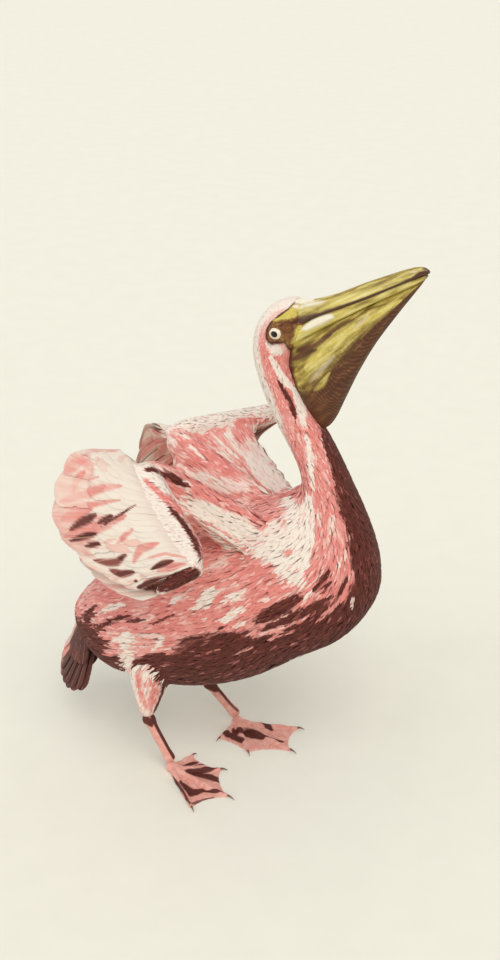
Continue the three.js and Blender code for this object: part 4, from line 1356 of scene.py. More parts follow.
# ---------------------------------------------------------------- bill and pouch
# Share of the bill's length, underside, top, half width.
UPPER_BILL = np.array([
    (-0.12, -2, 20, 10), (-0.06, -7, 40, 24), (0.02, -3, 56, 28), (0.11, 6, 57, 27), (0.17, 8, 51, 25.5),
    (0.23, 8, 42, 24), (0.4, 3, 32.5, 21), (0.6, -2, 28, 19.5), (0.78, -4, 22, 20), (0.89, -5, 17.5, 18),
    (0.95, -7, 12.5, 12), (0.985, -8, 6, 6), (1.0, -6.5, -1.5, 2.5)], float)
LOWER_BILL = np.array([
    (-0.1, -16, -4, 14), (-0.02, -24, 0, 25), (0.1, -22, 8, 26), (0.23, -20, 11.5, 23.4),
    (0.4, -18, 6.5, 20.4), (0.6, -16, 1.5, 18.8), (0.85, -17, -1.5, 17.4), (0.93, -16, -5, 11),
    (0.957, -15.2, -6.5, 7), (0.978, -11.5, -7.5, 2.5)], float)
POUCH_TOP = -15.0
POUCH = np.array([
    (0.94, 486.5, 1257.6, 2.5), (0.9, 468, 1230, 9), (0.76, 427, 1170, 16), (0.58, 385, 1104, 23),
    (0.4, 350, 1036, 29), (0.22, 320, 970, 32), (0.06, 299, 922, 32), (-0.04, 281, 896, 28),
    (-0.1, 260, 888, 18), (-0.14, 236, 888, 6)], float)
NAIL_FROM = 0.9


def bill_point(along, across, above):
    """A place in the bill's frame, carried to the head and turned with it."""
    c, s = math.cos(BILL_PITCH), math.sin(BILL_PITCH)
    x = BILL_ROOT[0] + along * c - above * s
    z = BILL_ROOT[1] + along * s + above * c
    return look_aside(np.stack(np.broadcast_arrays(x, across, z), axis=-1))


def upper_bill_surface(t, angle):
    """The upper mandible: from its rows, with a round ridge along the top, a groove on each
    side of it, a sharp closing edge 4 mm above its floor and a nail at the tip.

    Out by the half width times sin(angle). Up from the closing edge by the height times a power
    of cos(angle), less two bell curves for the grooves; below, a shallow floor the same way.
    """
    row = spline(UPPER_BILL, t)
    share, low, high, half = (row[..., k] for k in range(4))
    u, up = np.sin(angle), np.cos(angle)
    plain = smooth(share, 0.02, 0.16) * (1 - smooth(share, NAIL_FROM, 0.97))
    widest = mix((high + low) / 2, low + 4, plain)
    top = widest + (high - widest) * np.abs(up) ** mix(1, 1.35, plain)
    floor = widest - (widest - low) * np.abs(up) ** 0.6
    tall = (high - low) / 2
    groove = plain * tall * 0.14 * (np.exp(-((np.abs(u) - 0.42) / 0.13) ** 2))
    seam = 0.7 * np.exp(-((share - NAIL_FROM - 0.012 * u * u * 4) / 0.006) ** 2)
    growth = 0.14 * np.sin(share * 260 + 3 * np.abs(u)) * plain
    above = np.where(up > 0, top - groove - seam, floor) + growth
    return bill_point(share * BILL_LENGTH, half * u, above)


def lower_bill_surface(t, angle):
    """The lower mandible's two thin rami seen as one: an ellipse of its rows with a raised rim."""
    row = spline(LOWER_BILL, t)
    share, low, high, half = (row[..., k] for k in range(4))
    u, up = np.sin(angle), np.cos(angle)
    rim = 0.6 * np.exp(-((np.abs(u) - 0.9) / 0.12) ** 2)
    above = (high + low) / 2 + (high - low) / 2 * np.sign(up) * np.abs(up) ** 0.55 + rim * np.sign(up)
    return bill_point(share * BILL_LENGTH, half * np.sign(u) * np.abs(u) ** 0.85, above)


def pouch_surface(t, angle):
    """The pouch: sections from the bill's line down to its lowest points, each an ellipse,
    pressed by long folds that fan from the gape and by finer wrinkles across them."""
    c, s = math.cos(BILL_PITCH), math.sin(BILL_PITCH)
    top_x = BILL_ROOT[0] + POUCH[:, 0] * BILL_LENGTH * c - POUCH_TOP * s
    top_z = BILL_ROOT[1] + POUCH[:, 0] * BILL_LENGTH * s + POUCH_TOP * c
    rows = np.column_stack([top_x, top_z, POUCH[:, 1:]])
    down = 0.5 - 0.5 * np.cos(angle)
    side = np.sign(np.sin(angle))
    drift = 0.5 * noise(t * 5, down * 4, 11) + 0.03 * side
    folds = np.sin(2 * np.pi * (down * 5.2 - 1.5 * t + drift)) * smooth(t, 0.12, 0.5)
    creases = -np.exp(-((np.mod(down * 5.2 - 1.5 * t + drift, 1) - 0.5) / 0.09) ** 2) * smooth(t, 0.3, 0.6)
    crinkle = noise(t * 60 + 6 * drift, down * 26, 13) - 0.5
    fine = noise(t * 130, down * 50 + 5 * drift, 17) - 0.5
    edge = np.sin(angle) ** 2
    press = (1.1 * folds + 1.2 * creases + 0.8 * crinkle + 0.4 * fine) * edge * smooth(t, 0.0, 0.2)
    press = press * (1 - smooth(t, 0.93, 1.0))
    return section_loft(rows, 1.0, t, angle, press - 0.6)


def bill_marks(t, angle, p, lower):
    """Layers on the bill: dark, yellow, pale, the pale being painted highlights from the strokes. Dark along
    the closing edge and the nail.
    """
    share, low, high, _ = spline(LOWER_BILL if lower else UPPER_BILL, t).T
    up = np.cos(angle)
    lie = 0.5 * noise(share * 9, angle * 6, 23) + 0.5 * noise(share * 25, angle * 14, 24)
    layers = np.stack([0 * up, 0.6 * smooth(lie, 0.35, 0.7), 0 * up], axis=1)
    layers = brushed(near_side(p), layers, "byc", HEAD_STROKES + FACE_STROKES, 0.6 * (lie - 0.5), soft=0.4)
    from_edge = 0.5 * (high - low) * (1 - up) if lower else (high - low - 4) * np.maximum(up, 0) ** 1.35
    edge = 1 - smooth(from_edge + 2.4 * (lie - 0.5), mix(2.2, 1.2, share), mix(5.0, 3.2, share))
    edge = np.maximum(edge, 0.85 * smooth(share + 0.02 * lie, 0.975, 0.995))
    layers *= 1 - edge[:, None]
    layers[:, 0] += edge
    return layers


def pouch_marks(t, angle, p):
    """The same layers on the pouch: brown at its low edge and at the throat, then its strokes, the pale ones
    being painted highlights.
    """
    down = 0.5 - 0.5 * np.cos(angle)
    lie = 0.5 * noise(t * 7, down * 20, 31) + 0.5 * noise(t * 18, down * 60, 32)
    ripple = 0.02 * np.sin(t * 330 + 60 * down + 9 * noise(t * 14, down * 9, 5))
    low = smooth(down + 0.2 * (lie - 0.5) + ripple, 0.43, 0.62)
    throat = smooth(t + 0.1 * (lie - 0.5), 0.82, 0.92)
    dark = np.maximum(low, throat) * (1 - 0.2 * smooth(ripple, 0.008, 0.02))
    layers = np.stack([dark, 0.5 * smooth(lie, 0.4, 0.7) * (1 - dark), 0 * t], axis=1)
    return brushed(near_side(p), layers, "byc", HEAD_STROKES, 0.9 * (lie - 0.5) + 2 * ripple, soft=0.3)


def surface_piece(name, surface, steps, sides, marks, slot, material, *nodes):
    """A closed tube over a surface as a piece, painted with marks(t, angle, place)."""
    points, quads, tris, (t, angle) = closed_tube(surface, steps, sides)
    mesh = make_mesh(name, points, quads, tris)
    values = marks(t.ravel(), angle.ravel(), points[1:-1])
    values = np.concatenate([values[:1] * 0 + values[:sides].mean(axis=0), values,
                             values[:1] * 0 + values[-sides:].mean(axis=0)])
    paint(mesh, "Markings", values)
    add_object(name, mesh, slot, material, *nodes)


# ---------------------------------------------------------------- eyes
def build_eyes(material):
    """Glossy eyeballs: a sphere whose outer cap bulges as the cornea, with a dark pupil."""
    for name, side in SIDES.items():
        centre = look_aside(np.array(EYE_PLACE) * (1, side, 1))
        axis = unit(look_aside(np.array(EYE_PLACE) * (1, side, 1) + (0, side, 0)) - centre)
        front = unit(np.cross(axis, (0.0, 0.0, 1.0)))
        up = np.cross(front, axis)

        def ball(t, angle, axis=axis, front=front, up=up, centre=centre):
            tilt = np.pi * t
            radius = EYE_RADIUS - 0.35 + 0.5 * np.exp(-(tilt / 0.5) ** 2)
            way = (axis * np.cos(tilt)[..., None] + front * (np.sin(tilt) * np.cos(angle))[..., None]
                   + up * (np.sin(tilt) * np.sin(angle))[..., None])
            return centre + way * radius[..., None]

        def marks(t, angle, _place):
            return np.stack([1 - smooth(t, 0.13, 0.145), 1 - smooth(t, 0.22, 0.24),
                             noise(angle * 12, t * 40, 3)], axis=1)

        surface_piece(f"Eye_{name}", ball, 40, 32, marks, "eye", material, f"eye_{name}")


# ---------------------------------------------------------------- legs and feet
SHANK_RADIUS = 12.0
TOE_RADIUS = 6.5
CLAW_RADIUS = 3.4
WEB_THICKNESS = 3.4
# Below this height the sole lies flat on the ground, and below the other the foot begins.
SOLE_FLAT, FOOT_HEIGHT = 0.9, 30
TOES = {
    "outer": {"turn": 33, "length": 168, "claw": 15},
    "middle": {"turn": 0, "length": 188, "claw": 17},
    "inner": {"turn": -37, "length": 134, "claw": 15},
    "hind": {"turn": -86, "length": 88, "claw": 13},
}


def toe_point(leg, side, toe, along, across, height):
    """A place along a toe, across it and above the ground."""
    turn = math.radians(leg["heading"] + side * toe["turn"])
    way = np.array([math.cos(turn), math.sin(turn), 0])
    beside = np.array([math.sin(turn), -math.cos(turn), 0])
    along, across, height = (np.asarray(v)[..., None] for v in (along, across, height))
    start = np.array([leg["ankle"][0], leg["ankle"][1], 0.0])
    return start + way * along + beside * across + np.array([0, 0, 1.0]) * np.maximum(0, height)


def toe_surface(leg, side, toe):
    """A surface function: a tapering rod, swollen at three joints by a cosine, ringed by scutes
    on top, flat where it meets the ground."""
    reach = toe["length"] - toe["claw"]

    def surface(t, angle):
        swell = 1 + 0.16 * np.cos(t * 6 * np.pi) * smooth(t, 0.15, 0.4)
        ends = np.sqrt(np.maximum(0, 1 - np.abs(2 * t - 1) ** 14))
        scute = 0.035 * np.abs(np.sin(t * reach / 4.2 * np.pi / 2)) * smooth(np.sin(angle), 0.2, 0.8)
        radius = TOE_RADIUS * mix(1.36, 0.64, t) * (swell + scute) * ends
        middle = TOE_RADIUS * mix(1.9, 0.66, smooth(t, 0, 0.3))
        return toe_point(leg, side, toe, t * reach, radius * np.cos(angle), middle + radius * np.sin(angle))
    return surface


def claw_surface(leg, side, toe):
    """A surface function: a cone bent down by the square of the way along it."""
    start = toe["length"] - toe["claw"] - 5

    def surface(t, angle):
        radius = mix(CLAW_RADIUS + 0.5, 0.5, t ** 0.85) * np.sqrt(np.maximum(0, 1 - np.abs(2 * t - 1) ** 10))
        height = mix(5.4, 0.9, t * t) + 1.6 * np.sin(t * np.pi) + radius * np.sin(angle)
        return toe_point(leg, side, toe, mix(start, toe["length"], t), 0.75 * radius * np.cos(angle), height)
    return surface


def web_surface(leg, side, first, second):
    """A surface function for the web between two toes: from the ankle to a sagging outer edge.

    t runs from one toe's line to the other's; the angle runs out on top and back beneath. The
    outer edge is a parabola between the toes' ends, drawn in to the ankle; the top rises in
    shallow pleats that fan out with t and lifts towards both toes.
    """
    ends = [toe_point(leg, side, toe, toe["length"] - toe["claw"] - 3, 0, 0) for toe in (first, second)]
    start = toe_point(leg, side, TOES["middle"], -2, 0, 0)
    dip = mix(mix(ends[0], ends[1], 0.5), start, 0.16)

    def surface(t, angle):
        share = (0.5 - 0.5 * np.cos(angle))[..., None]
        k = t[..., None]
        edge = (1 - k) ** 2 * ends[0] + 2 * k * (1 - k) * dip + k * k * ends[1]
        out = mix(0.04, 1, share)
        flat = mix(start, edge, out)
        pleat = 0.35 * np.sin(t * 9 * np.pi) * smooth(share[..., 0], 0.1, 0.5)
        crimp = 0.5 * np.sin(share[..., 0] * 34 + 5 * t) * smooth(share[..., 0], 0.3, 0.9) * np.sin(np.pi * t)
        rise = 2.2 * np.abs(2 * t - 1) ** 6 + pleat + 0.4 * crimp
        top = np.maximum(WEB_THICKNESS * 0.8 + rise - 0.5 * share[..., 0], 1.8)
        flat[..., 2] = np.where(np.sin(angle) > 1e-6, top * np.minimum(1, np.sin(angle) * 4), 0)
        return flat
    return surface


def knuckle_surface(leg):
    """A surface function: the ball of the foot, a sphere cut flat by the ground."""
    x, y, _ = leg["ankle"]

    def surface(t, angle):
        ring = 14 * np.sin(t * np.pi)
        height = np.maximum(0, 12 - 14 * np.cos(t * np.pi))
        return np.stack([x + ring * np.cos(angle), y + ring * np.sin(angle), height], axis=-1)
    return surface


def shank_line(leg):
    """The bare leg's line, from just above the hock to the ankle."""
    x, y, z = leg["hock"]
    return joint_line((x - 3, y, z + 12), leg["ankle"])


def shank_radius(t):
    """The bare leg's radius, with a knob at the hock and at the ankle."""
    knob = lambda at, wide: np.exp(-((t - at) / wide) ** 2)
    return SHANK_RADIUS + 5 * knob(0.12, 0.1) + 4 * knob(0.95, 0.12)


def scaled_leg(p, normal, leg):
    """Heights of the leg's scales: a net of small plates, and broad rings down the front."""
    line = shank_line(leg)
    axis = unit(line[2] - line[0])
    down = dot(p - line[0], axis)[:, 0]
    ahead = dot(normal, unit(np.array([1.0, 0, 0.3])))[:, 0]
    rings = np.abs(np.sin(down * np.pi / 9)) ** 0.4 * smooth(ahead, 0.35, 0.7)
    around = np.arctan2(normal[:, 1], normal[:, 0]) * SHANK_RADIUS
    net = np.abs(np.sin(down * np.pi / 5.5 + np.pi / 2 * np.floor(around / 5)))
    net *= np.abs(np.sin(around * np.pi / 5))
    return 0.55 * rings + 0.4 * np.sqrt(net) * (1 - smooth(ahead, 0.35, 0.7))


def build_leg(name, skin, horn, voxel):
    """The bare leg, toes and webs under one skin, and the claws."""
    leg, side = LEGS[name], SIDES[name]
    shells = [closed_tube(limb_surface(shank_line(leg), shank_radius, 0.82), 60, 24)[:3],
              closed_tube(knuckle_surface(leg), 16, 24)[:3]]
    shells += [closed_tube(toe_surface(leg, side, toe), 90, 16)[:3] for toe in TOES.values()]
    order = [TOES[key] for key in ("hind", "inner", "middle", "outer")]
    shells += [closed_tube(web_surface(leg, side, a, b), 48, 56)[:3] for a, b in zip(order, order[1:])]
    obj = remeshed(f"Leg_{name}", shells, voxel, 3)
    mesh = obj.data
    p, normal = vertices_of(mesh), normals_of(mesh)
    shank = smooth(p[:, 2], 26, 40)
    p = p + normal * (shank * scaled_leg(p, normal, leg))[:, None]
    p[:, 2] = np.where(p[:, 2] < SOLE_FLAT, 0.0, p[:, 2])
    place_points(mesh, p)
    mesh.update()
    scuffs = noise(p[:, 0] * 0.09 + p[:, 2] * 0.05, p[:, 1] * 0.09, 2) - 0.5
    way = unit(np.subtract(leg["ankle"], leg["hock"]))
    front = np.array([0.97, -0.2, 0.0])
    ahead = normal @ unit(front - way * (front @ way))
    # Painted shade: the shank darker down its front and round the hock, below the thigh's feathers.
    hock = 1 - smooth(np.abs(p[:, 2] - leg["hock"][2] + 2) + 12 * scuffs, 9, 15)
    dark = shank * np.maximum(smooth(ahead + 0.25 * scuffs, 0.8, 0.92), hock)
    layers = np.stack([dark, 0.5 * smooth(scuffs, 0.0, 0.3) * (1 - dark)], axis=1)
    low = (p[:, 2] < FOOT_HEIGHT)[:, None]
    flat = p * (1, 1, 0) + (0, 0, 4)
    layers = np.where(low, brushed(flat, layers.copy(), "bc", FOOT_STROKES, 0.2 * scuffs), layers)
    paint(mesh, "Markings", np.column_stack([layers, shank]))
    as_piece(obj, "leg", skin, f"shank_{name}", f"foot_{name}")
    claws = joined([closed_tube(claw_surface(leg, side, toe), 16, 12)[:3] for toe in TOES.values()])
    add_object(f"Claws_{name}", make_mesh(f"Claws_{name}", *claws), "claw", horn,
               *(f"claw_{toe}_{name}" for toe in TOES))


# ---------------------------------------------------------------- materials
COLOURS = {"data_type": "RGBA"}
SHADES = {"data_type": "RGBA", "blend_type": "MULTIPLY"}
EDGES = {"feature": "DISTANCE_TO_EDGE"}


def linear(code):
    """An sRGB hex colour as linear red, green and blue."""
    channels = [int(code[k:k + 2], 16) / 255 for k in (1, 3, 5)]
    return tuple(c / 12.92 if c <= 0.04045 else ((c + 0.055) / 1.055) ** 2.4 for c in channels)


def solid(colour, factor=1.0):
    """A property's colour or a hex colour, made lighter or darker, with alpha."""
    channels = linear(colour) if isinstance(colour, str) else colour
    return tuple(min(1.0, c * factor) for c in channels[:3]) + (1.0,)


def node(tree, kind, settings=None, stops=(), **inputs):
    """Adds a node with its settings and links and gives its outputs.

    An input is a value, a hex colour or a socket; _3 means input 3, and other names have their
    spaces written as underscores. Stops are a ramp's places, colours and factors.
    """
    made = tree.nodes.new("ShaderNode" + kind)
    for key, value in (settings or {}).items():
        setattr(made, key, value)
    for index, (place, *colour) in enumerate(stops):
        ramp = made.color_ramp.elements
        element = ramp[index] if index < len(ramp) else ramp.new(place)
        element.position = place
        element.color = solid(*colour)
    for key, value in inputs.items():
        socket = made.inputs[int(key[1:]) if key[1:].isdigit() else key.replace("_", " ")]
        if isinstance(value, bpy.types.NodeSocket):
            tree.links.new(value, socket)
        else:
            socket.default_value = solid(value) if isinstance(value, str) else value
    return made.outputs


def new_material(name, colour, roughness, **fixed):
    """A Principled material with its own constants, and node() for its tree."""
    material = bpy.data.materials.new(name)
    material.use_nodes = True
    material.diffuse_color = solid(colour)
    sockets = material.node_tree.nodes["Principled BSDF"].inputs
    sockets["Base Color"].default_value = solid(colour)
    sockets["Roughness"].default_value = roughness
    for key, value in fixed.items():
        sockets[key.replace("_", " ")].default_value = value
    return material, functools.partial(node, material.node_tree)


def layers_of(add, name="Markings"):
    """The three layers of a painted attribute, and its fourth column."""
    layer = add("Attribute", {"attribute_name": name})
    return (*add("SeparateColor", Color=layer["Color"]), layer["Alpha"])


def finished(material, add, colour, height=None, depth=0.0, strength=0.0, gloss=None):
    """Links the colour, a bump of that depth in metres, and the roughness to the shader."""
    links, sockets = material.node_tree.links, material.node_tree.nodes["Principled BSDF"].inputs
    links.new(colour, sockets["Base Color"])
    if height is not None:
        links.new(add("Bump", Height=height, Distance=depth, Strength=strength)[0], sockets["Normal"])
    if gloss is not None:
        links.new(gloss, sockets["Roughness"])
    return material


def plumage_colour(add, place, hues, brown, cream, chance, along):
    """Rosy keratin: a little paler or deeper by feather and in patches, cream and brown by marking, and
    darker where along is low, which on a vane is painted shade at its root.
    """
    rose, umber = hues.rose, hues.umber
    colour = add("ValToRGB", Fac=chance, stops=(
        (0.0, rose, 0.9), (0.3, rose), (0.8, rose, 1.06), (1.0, hues.pale_rose)))[0]
    pale = add("ValToRGB", Fac=chance, stops=(
        (0.0, hues.pale_rose), (0.12, hues.cream, 0.96), (1.0, hues.cream)))[0]
    dark = add("ValToRGB", Fac=chance, stops=(
        (0.0, umber, 0.75), (0.7, umber), (0.96, umber, 1.5), (1.0, rose, 0.5)))[0]
    broad = add("TexNoise", Vector=place, Scale=1000 / 60, Detail=4.0)["Fac"]
    patches = add("MapRange", Value=broad, From_Min=0.5, From_Max=0.75, To_Max=0.5)[0]
    for share, over in ((patches, solid(hues.pale_rose)), (cream, pale), (brown, dark)):
        colour = add("Mix", COLOURS, _0=share, _6=colour, _7=over)[2]
    # Painted shade: a vane darker towards its root, under the vanes that lie over it; on the skin along is
    # noise, so there it darkens at random.
    shade = add("MapRange", Value=along, From_Max=0.5, To_Min=0.3, To_Max=0.0)[0]
    return add("Mix", SHADES, _0=shade, _6=colour, _7="#c98a7c")[2]


def feather_material(hues):
    """Body feathers: dull keratin with a faint sheen, soft because its barbs part the light."""
    material, add = new_material("Feather keratin, rosy", hues.rose, 0.82, Sheen_Weight=0.1,
                                 Sheen_Roughness=0.5, Specular_IOR_Level=0.15)
    place = add("TexCoord")["Object"]
    colour = plumage_colour(add, place, hues, *layers_of(add))
    # Barbs leave the shaft slantwise, 0.6 mm apart in life and drawn a millimetre apart to show.
    lay = add("UVMap", {"uv_map": "Vane"})["UV"]
    barbs = add("TexWave", {"bands_direction": "DIAGONAL"}, Vector=lay, Scale=9.0, Distortion=1.2)["Fac"]
    return finished(material, add, colour, barbs, 0.0002, 0.4)


def vane_material(hues):
    """Long feathers: smooth firm keratin, barbs ruled in a V off a paler shaft."""
    material, add = new_material("Feather keratin, long vanes", hues.rose, 0.68, Sheen_Weight=0.08,
                                 Sheen_Roughness=0.5, Specular_IOR_Level=0.25)
    place = add("TexCoord")["Object"]
    brown, cream, chance, length = layers_of(add)
    lay = add("UVMap", {"uv_map": "Vane"})["UV"]
    across, up, _ = add("SeparateXYZ", Vector=lay)
    off = add("Math", {"operation": "SUBTRACT"}, _0=across, _1=0.5)[0]
    off = add("Math", {"operation": "ABSOLUTE"}, _0=off)[0]
    # Brushed streaks of paler and deeper rose run along the vane, a few millimetres apart.
    brush = add("Mapping", Vector=lay, Scale=(9.0, 1.6, 1.0))[0]
    streak = add("TexNoise", Vector=brush, Scale=2.0, Detail=4.0, Distortion=0.6)["Fac"]
    paler = add("MapRange", Value=streak, From_Min=0.45, From_Max=0.72, To_Max=0.35)[0]
    cream = add("Math", {"operation": "ADD"}, _0=cream, _1=paler)[0]
    colour = plumage_colour(add, place, hues, brown, cream, chance, length)
    # Painted shade: the long vanes' colour dimmed to about nine tenths, to temper the key light on the near
    # wing, which faces it.
    colour = add("Mix", SHADES, _0=1.0, _6=colour, _7="#f3f3f0")[2]
    # Barbs 0.7 mm apart in life are drawn 2.5 mm apart, about 80 on a vane, so that they show.
    slant = add("Math", {"operation": "MULTIPLY_ADD"}, _0=off, _1=-0.42, _2=up)[0]
    drift = add("TexNoise", Vector=place, Scale=1000 / 14, Detail=2.0)["Fac"]
    wobble = add("Math", {"operation": "MULTIPLY_ADD"}, _0=drift, _1=0.03, _2=slant)[0]
    rule = add("Math", {"operation": "MULTIPLY"}, _0=wobble, _1=500.0)[0]
    barbs = add("Math", {"operation": "SINE"}, _0=rule)[0]
    shaft = add("MapRange", Value=off, From_Min=0.012, From_Max=0.03, To_Min=0.4, To_Max=0.0)[0]
    colour = add("Mix", COLOURS, _0=shaft, _6=colour, _7="#dcae96")[2]
    return finished(material, add, colour, barbs, 0.00025, 0.35)


def skin_material(hues, horn):
    """Skin under down, in the plumage's colours, and on the face bare, waxy, finely pored skin."""
    material, add = new_material("Down-covered skin", hues.rose, 0.7, Specular_IOR_Level=0.3)
    place = add("TexCoord")["Object"]
    brown, cream, bare, _ = layers_of(add)
    fluff = add("TexNoise", Vector=place, Scale=1000 / 3, Detail=2.0)["Fac"]
    tuft = add("TexNoise", Vector=place, Scale=1000 / 6, Detail=3.0)["Fac"]
    down = plumage_colour(add, place, hues, brown, cream, tuft, fluff)
    tone = add("TexNoise", Vector=place, Scale=1000 / 4, Detail=3.0)["Fac"]
    face = add("ValToRGB", Fac=tone, stops=((0.3, "#62381f"), (0.5, "#774a2a"), (0.7, "#8c6034")))[0]
    dark, yellow, pale, _ = layers_of(add, "Face")
    gold = add("ValToRGB", Fac=tone, stops=((0.3, horn.yellow, 0.8), (0.5, horn.yellow, 0.95),
                                            (0.7, horn.yellow, 1.1)))[0]
    # The pale is the lid's ring, and painted highlights near the bill's root.
    for share, over in ((yellow, gold), (dark, solid(horn.brown, 0.8)), (pale, "#f4e8d4")):
        face = add("Mix", COLOURS, _0=share, _6=face, _7=over)[2]
    colour = add("Mix", COLOURS, _0=bare, _6=down, _7=face)[2]
    # Skin pores and pimples, 1.6 mm apart.
    pores = add("TexVoronoi", EDGES, Vector=place, Scale=1000 / 1.6)["Distance"]
    raised = add("Math", {"operation": "MINIMUM"}, _0=pores, _1=0.3)[0]
    return finished(material, add, colour, raised, 0.0006, 0.5)


def horn_material(horn):
    """Bill sheath: hard, thin keratin with a satin gloss, ruled along by growth, with painted highlights in
    pale.
    """
    material, add = new_material("Bill horn, satin", horn.yellow, 0.38, Coat_Weight=0.15,
                                 Coat_Roughness=0.3)
    place = add("TexCoord")["Object"]
    dark, yellow, pale, _ = layers_of(add)
    # Growth streaks 7 mm apart run along the bill, eight times as long as they are wide.
    grown = add("Mapping", {"vector_type": "TEXTURE"}, Vector=place,
                Rotation=(0.0, -BILL_PITCH, HEAD_TURN), Scale=(8.0, 1.0, 1.0))[0]
    tone = add("TexNoise", Vector=grown, Scale=1000 / 7, Detail=4.0)["Fac"]
    colour = add("ValToRGB", Fac=tone, stops=(
        (0.3, horn.pouch, 0.6), (0.5, horn.pouch), (0.7, horn.yellow)))[0]
    gold = add("ValToRGB", Fac=tone, stops=(
        (0.3, horn.yellow, 0.72), (0.5, horn.yellow), (0.68, "#dfd594")))[0]
    # The pale is painted highlight, laid by the pale strokes.
    for share, over in ((yellow, gold), (pale, "#eee6d0"), (dark, solid(horn.brown, 0.7))):
        colour = add("Mix", COLOURS, _0=share, _6=colour, _7=over)[2]
    gloss = add("MapRange", Value=tone, To_Min=0.28, To_Max=0.52)[0]
    fine = add("TexNoise", Vector=grown, Scale=1000 / 1.6, Detail=3.0)["Fac"]
    return finished(material, add, colour, fine, 0.0004, 0.35, gloss)


def pouch_material(horn):
    """Pouch: thin stretchy skin, leathery and half dull, crossed by vessels and fine creases."""
    material, add = new_material("Pouch skin, stretched", horn.yellow, 0.55, Subsurface_Weight=0.08,
                                 Subsurface_Scale=0.004, Specular_IOR_Level=0.35)
    place = add("TexCoord")["Object"]
    dark, yellow, pale, _ = layers_of(add)
    # The skin's streaks fan a little steeper than the bill, 9 mm apart and five times as long.
    drawn = add("Mapping", {"vector_type": "TEXTURE"}, Vector=place,
                Rotation=(0.0, -1.4 * BILL_PITCH, HEAD_TURN), Scale=(5.0, 1.0, 1.0))[0]
    tone = add("TexNoise", Vector=drawn, Scale=1000 / 9, Detail=4.0)["Fac"]
    colour = add("ValToRGB", Fac=tone, stops=(
        (0.3, horn.pouch, 0.5), (0.5, horn.pouch, 0.9), (0.7, horn.yellow)))[0]
    gold = add("ValToRGB", Fac=tone, stops=(
        (0.3, horn.yellow, 0.72), (0.48, horn.yellow), (0.64, "#e0d490")))[0]
    deep = add("ValToRGB", Fac=tone, stops=(
        (0.3, horn.brown, 0.6), (0.55, horn.brown), (0.8, horn.brown, 1.7)))[0]
    veins = add("TexVoronoi", EDGES, Vector=place, Scale=1000 / 11)["Distance"]
    thread = add("MapRange", Value=veins, From_Min=0.02, From_Max=0.08, To_Min=0.12, To_Max=0.0)[0]
    # The pale is painted highlight, laid by the pale strokes.
    for share, over in ((yellow, gold), (pale, "#e6d8c6"), (dark, deep), (thread, solid(horn.brown, 1.4))):
        colour = add("Mix", COLOURS, _0=share, _6=colour, _7=over)[2]
    fine = add("TexNoise", Vector=place, Scale=1000 / 3, Detail=4.0)["Fac"]
    return finished(material, add, colour, fine, 0.0008, 0.5)


def eye_material(hues):
    """Eyeball: wet cornea, mirror smooth, over a dark brown iris and a black pupil."""
    material, add = new_material("Eye, wet cornea", hues.umber, 0.04, Coat_Weight=0.2, Coat_Roughness=0.02,
                                 Specular_IOR_Level=0.3)
    pupil, iris, threads, _ = layers_of(add)
    ring = add("ValToRGB", Fac=threads, stops=((0.2, "#160a06"), (0.6, "#2c140b"), (0.9, "#452413")))[0]
    ball = add("Mix", COLOURS, _0=iris, _6="#1c1410", _7=ring)[2]
    return finished(material, add, add("Mix", COLOURS, _0=pupil, _6=ball, _7="#060404")[2])


def leg_material(legs):
    """Leg and web: dry scaly skin with a dull gloss, rosy, with dark seams between scales, dark middles in
    the webs, and painted shade down the shank's front and round the hock.
    """
    material, add = new_material("Leg skin, scaled", legs.skin, 0.55, Specular_IOR_Level=0.3)
    place = add("TexCoord")["Object"]
    dark, pale, *_ = layers_of(add)
    tone = add("TexNoise", Vector=place, Scale=1000 / 12, Detail=5.0)["Fac"]
    colour = add("ValToRGB", Fac=tone, stops=((0.3, legs.skin, 0.9), (0.5, legs.skin), (0.72, "#efbfb0")))[0]
    half = add("Math", {"operation": "MULTIPLY"}, _0=pale, _1=0.6)[0]
    # The net of scales on a web, 3 mm across.
    net = add("TexVoronoi", EDGES, Vector=place, Scale=1000 / 3.0)["Distance"]
    seam = add("MapRange", Value=net, From_Max=0.12, To_Min=0.35, To_Max=0.0)[0]
    for share, over in ((half, "#f3c9b8"), (dark, solid(legs.web))):
        colour = add("Mix", COLOURS, _0=share, _6=colour, _7=over)[2]
    colour = add("Mix", SHADES, _0=seam, _6=colour, _7="#a8645a")[2]
    raised = add("Math", {"operation": "MINIMUM"}, _0=net, _1=0.2)[0]
    return finished(material, add, colour, raised, 0.0012, 0.6)


def claw_material(legs):
    """Claw horn: worn keratin, darker and paler in patches, with a fine grain in its bump."""
    material, add = new_material("Claw horn, worn", legs.claw, 0.42)
    place = add("TexCoord")["Object"]
    tone = add("TexNoise", Vector=place, Scale=1000 / 2.5, Detail=4.0)["Fac"]
    colour = add("ValToRGB", Fac=tone, stops=(
        (0.3, legs.claw, 0.5), (0.55, legs.claw), (0.8, legs.claw, 1.6)))[0]
    fine = add("TexNoise", Vector=place, Scale=1000 / 1.2, Detail=2.0)["Fac"]
    return finished(material, add, colour, fine, 0.0003, 0.4)


def floor_material(stage):
    """Studio floor: matt painted board, with the slightest unevenness of a rolled coat."""
    paint_colour = stage.floor_colour
    material, add = new_material("Painted board, matt", paint_colour, 0.9, Specular_IOR_Level=0.1)
    place = add("TexCoord")["Object"]
    rolled = add("TexNoise", Vector=place, Scale=1000 / 90, Detail=3.0)["Fac"]
    tone = add("ValToRGB", Fac=rolled, stops=((0.3, paint_colour, 0.99), (0.7, paint_colour, 1.01)))[0]
    return finished(material, add, tone, rolled, 0.0003, 0.2)


def shared(name, maker, *settings):
    """A material of that name if it is there already, or a new one from its maker."""
    return bpy.data.materials.get(name) or maker(*settings)


# ---------------------------------------------------------------- stage
FLOOR_REACH, FLOOR_STEPS = 40000, 40


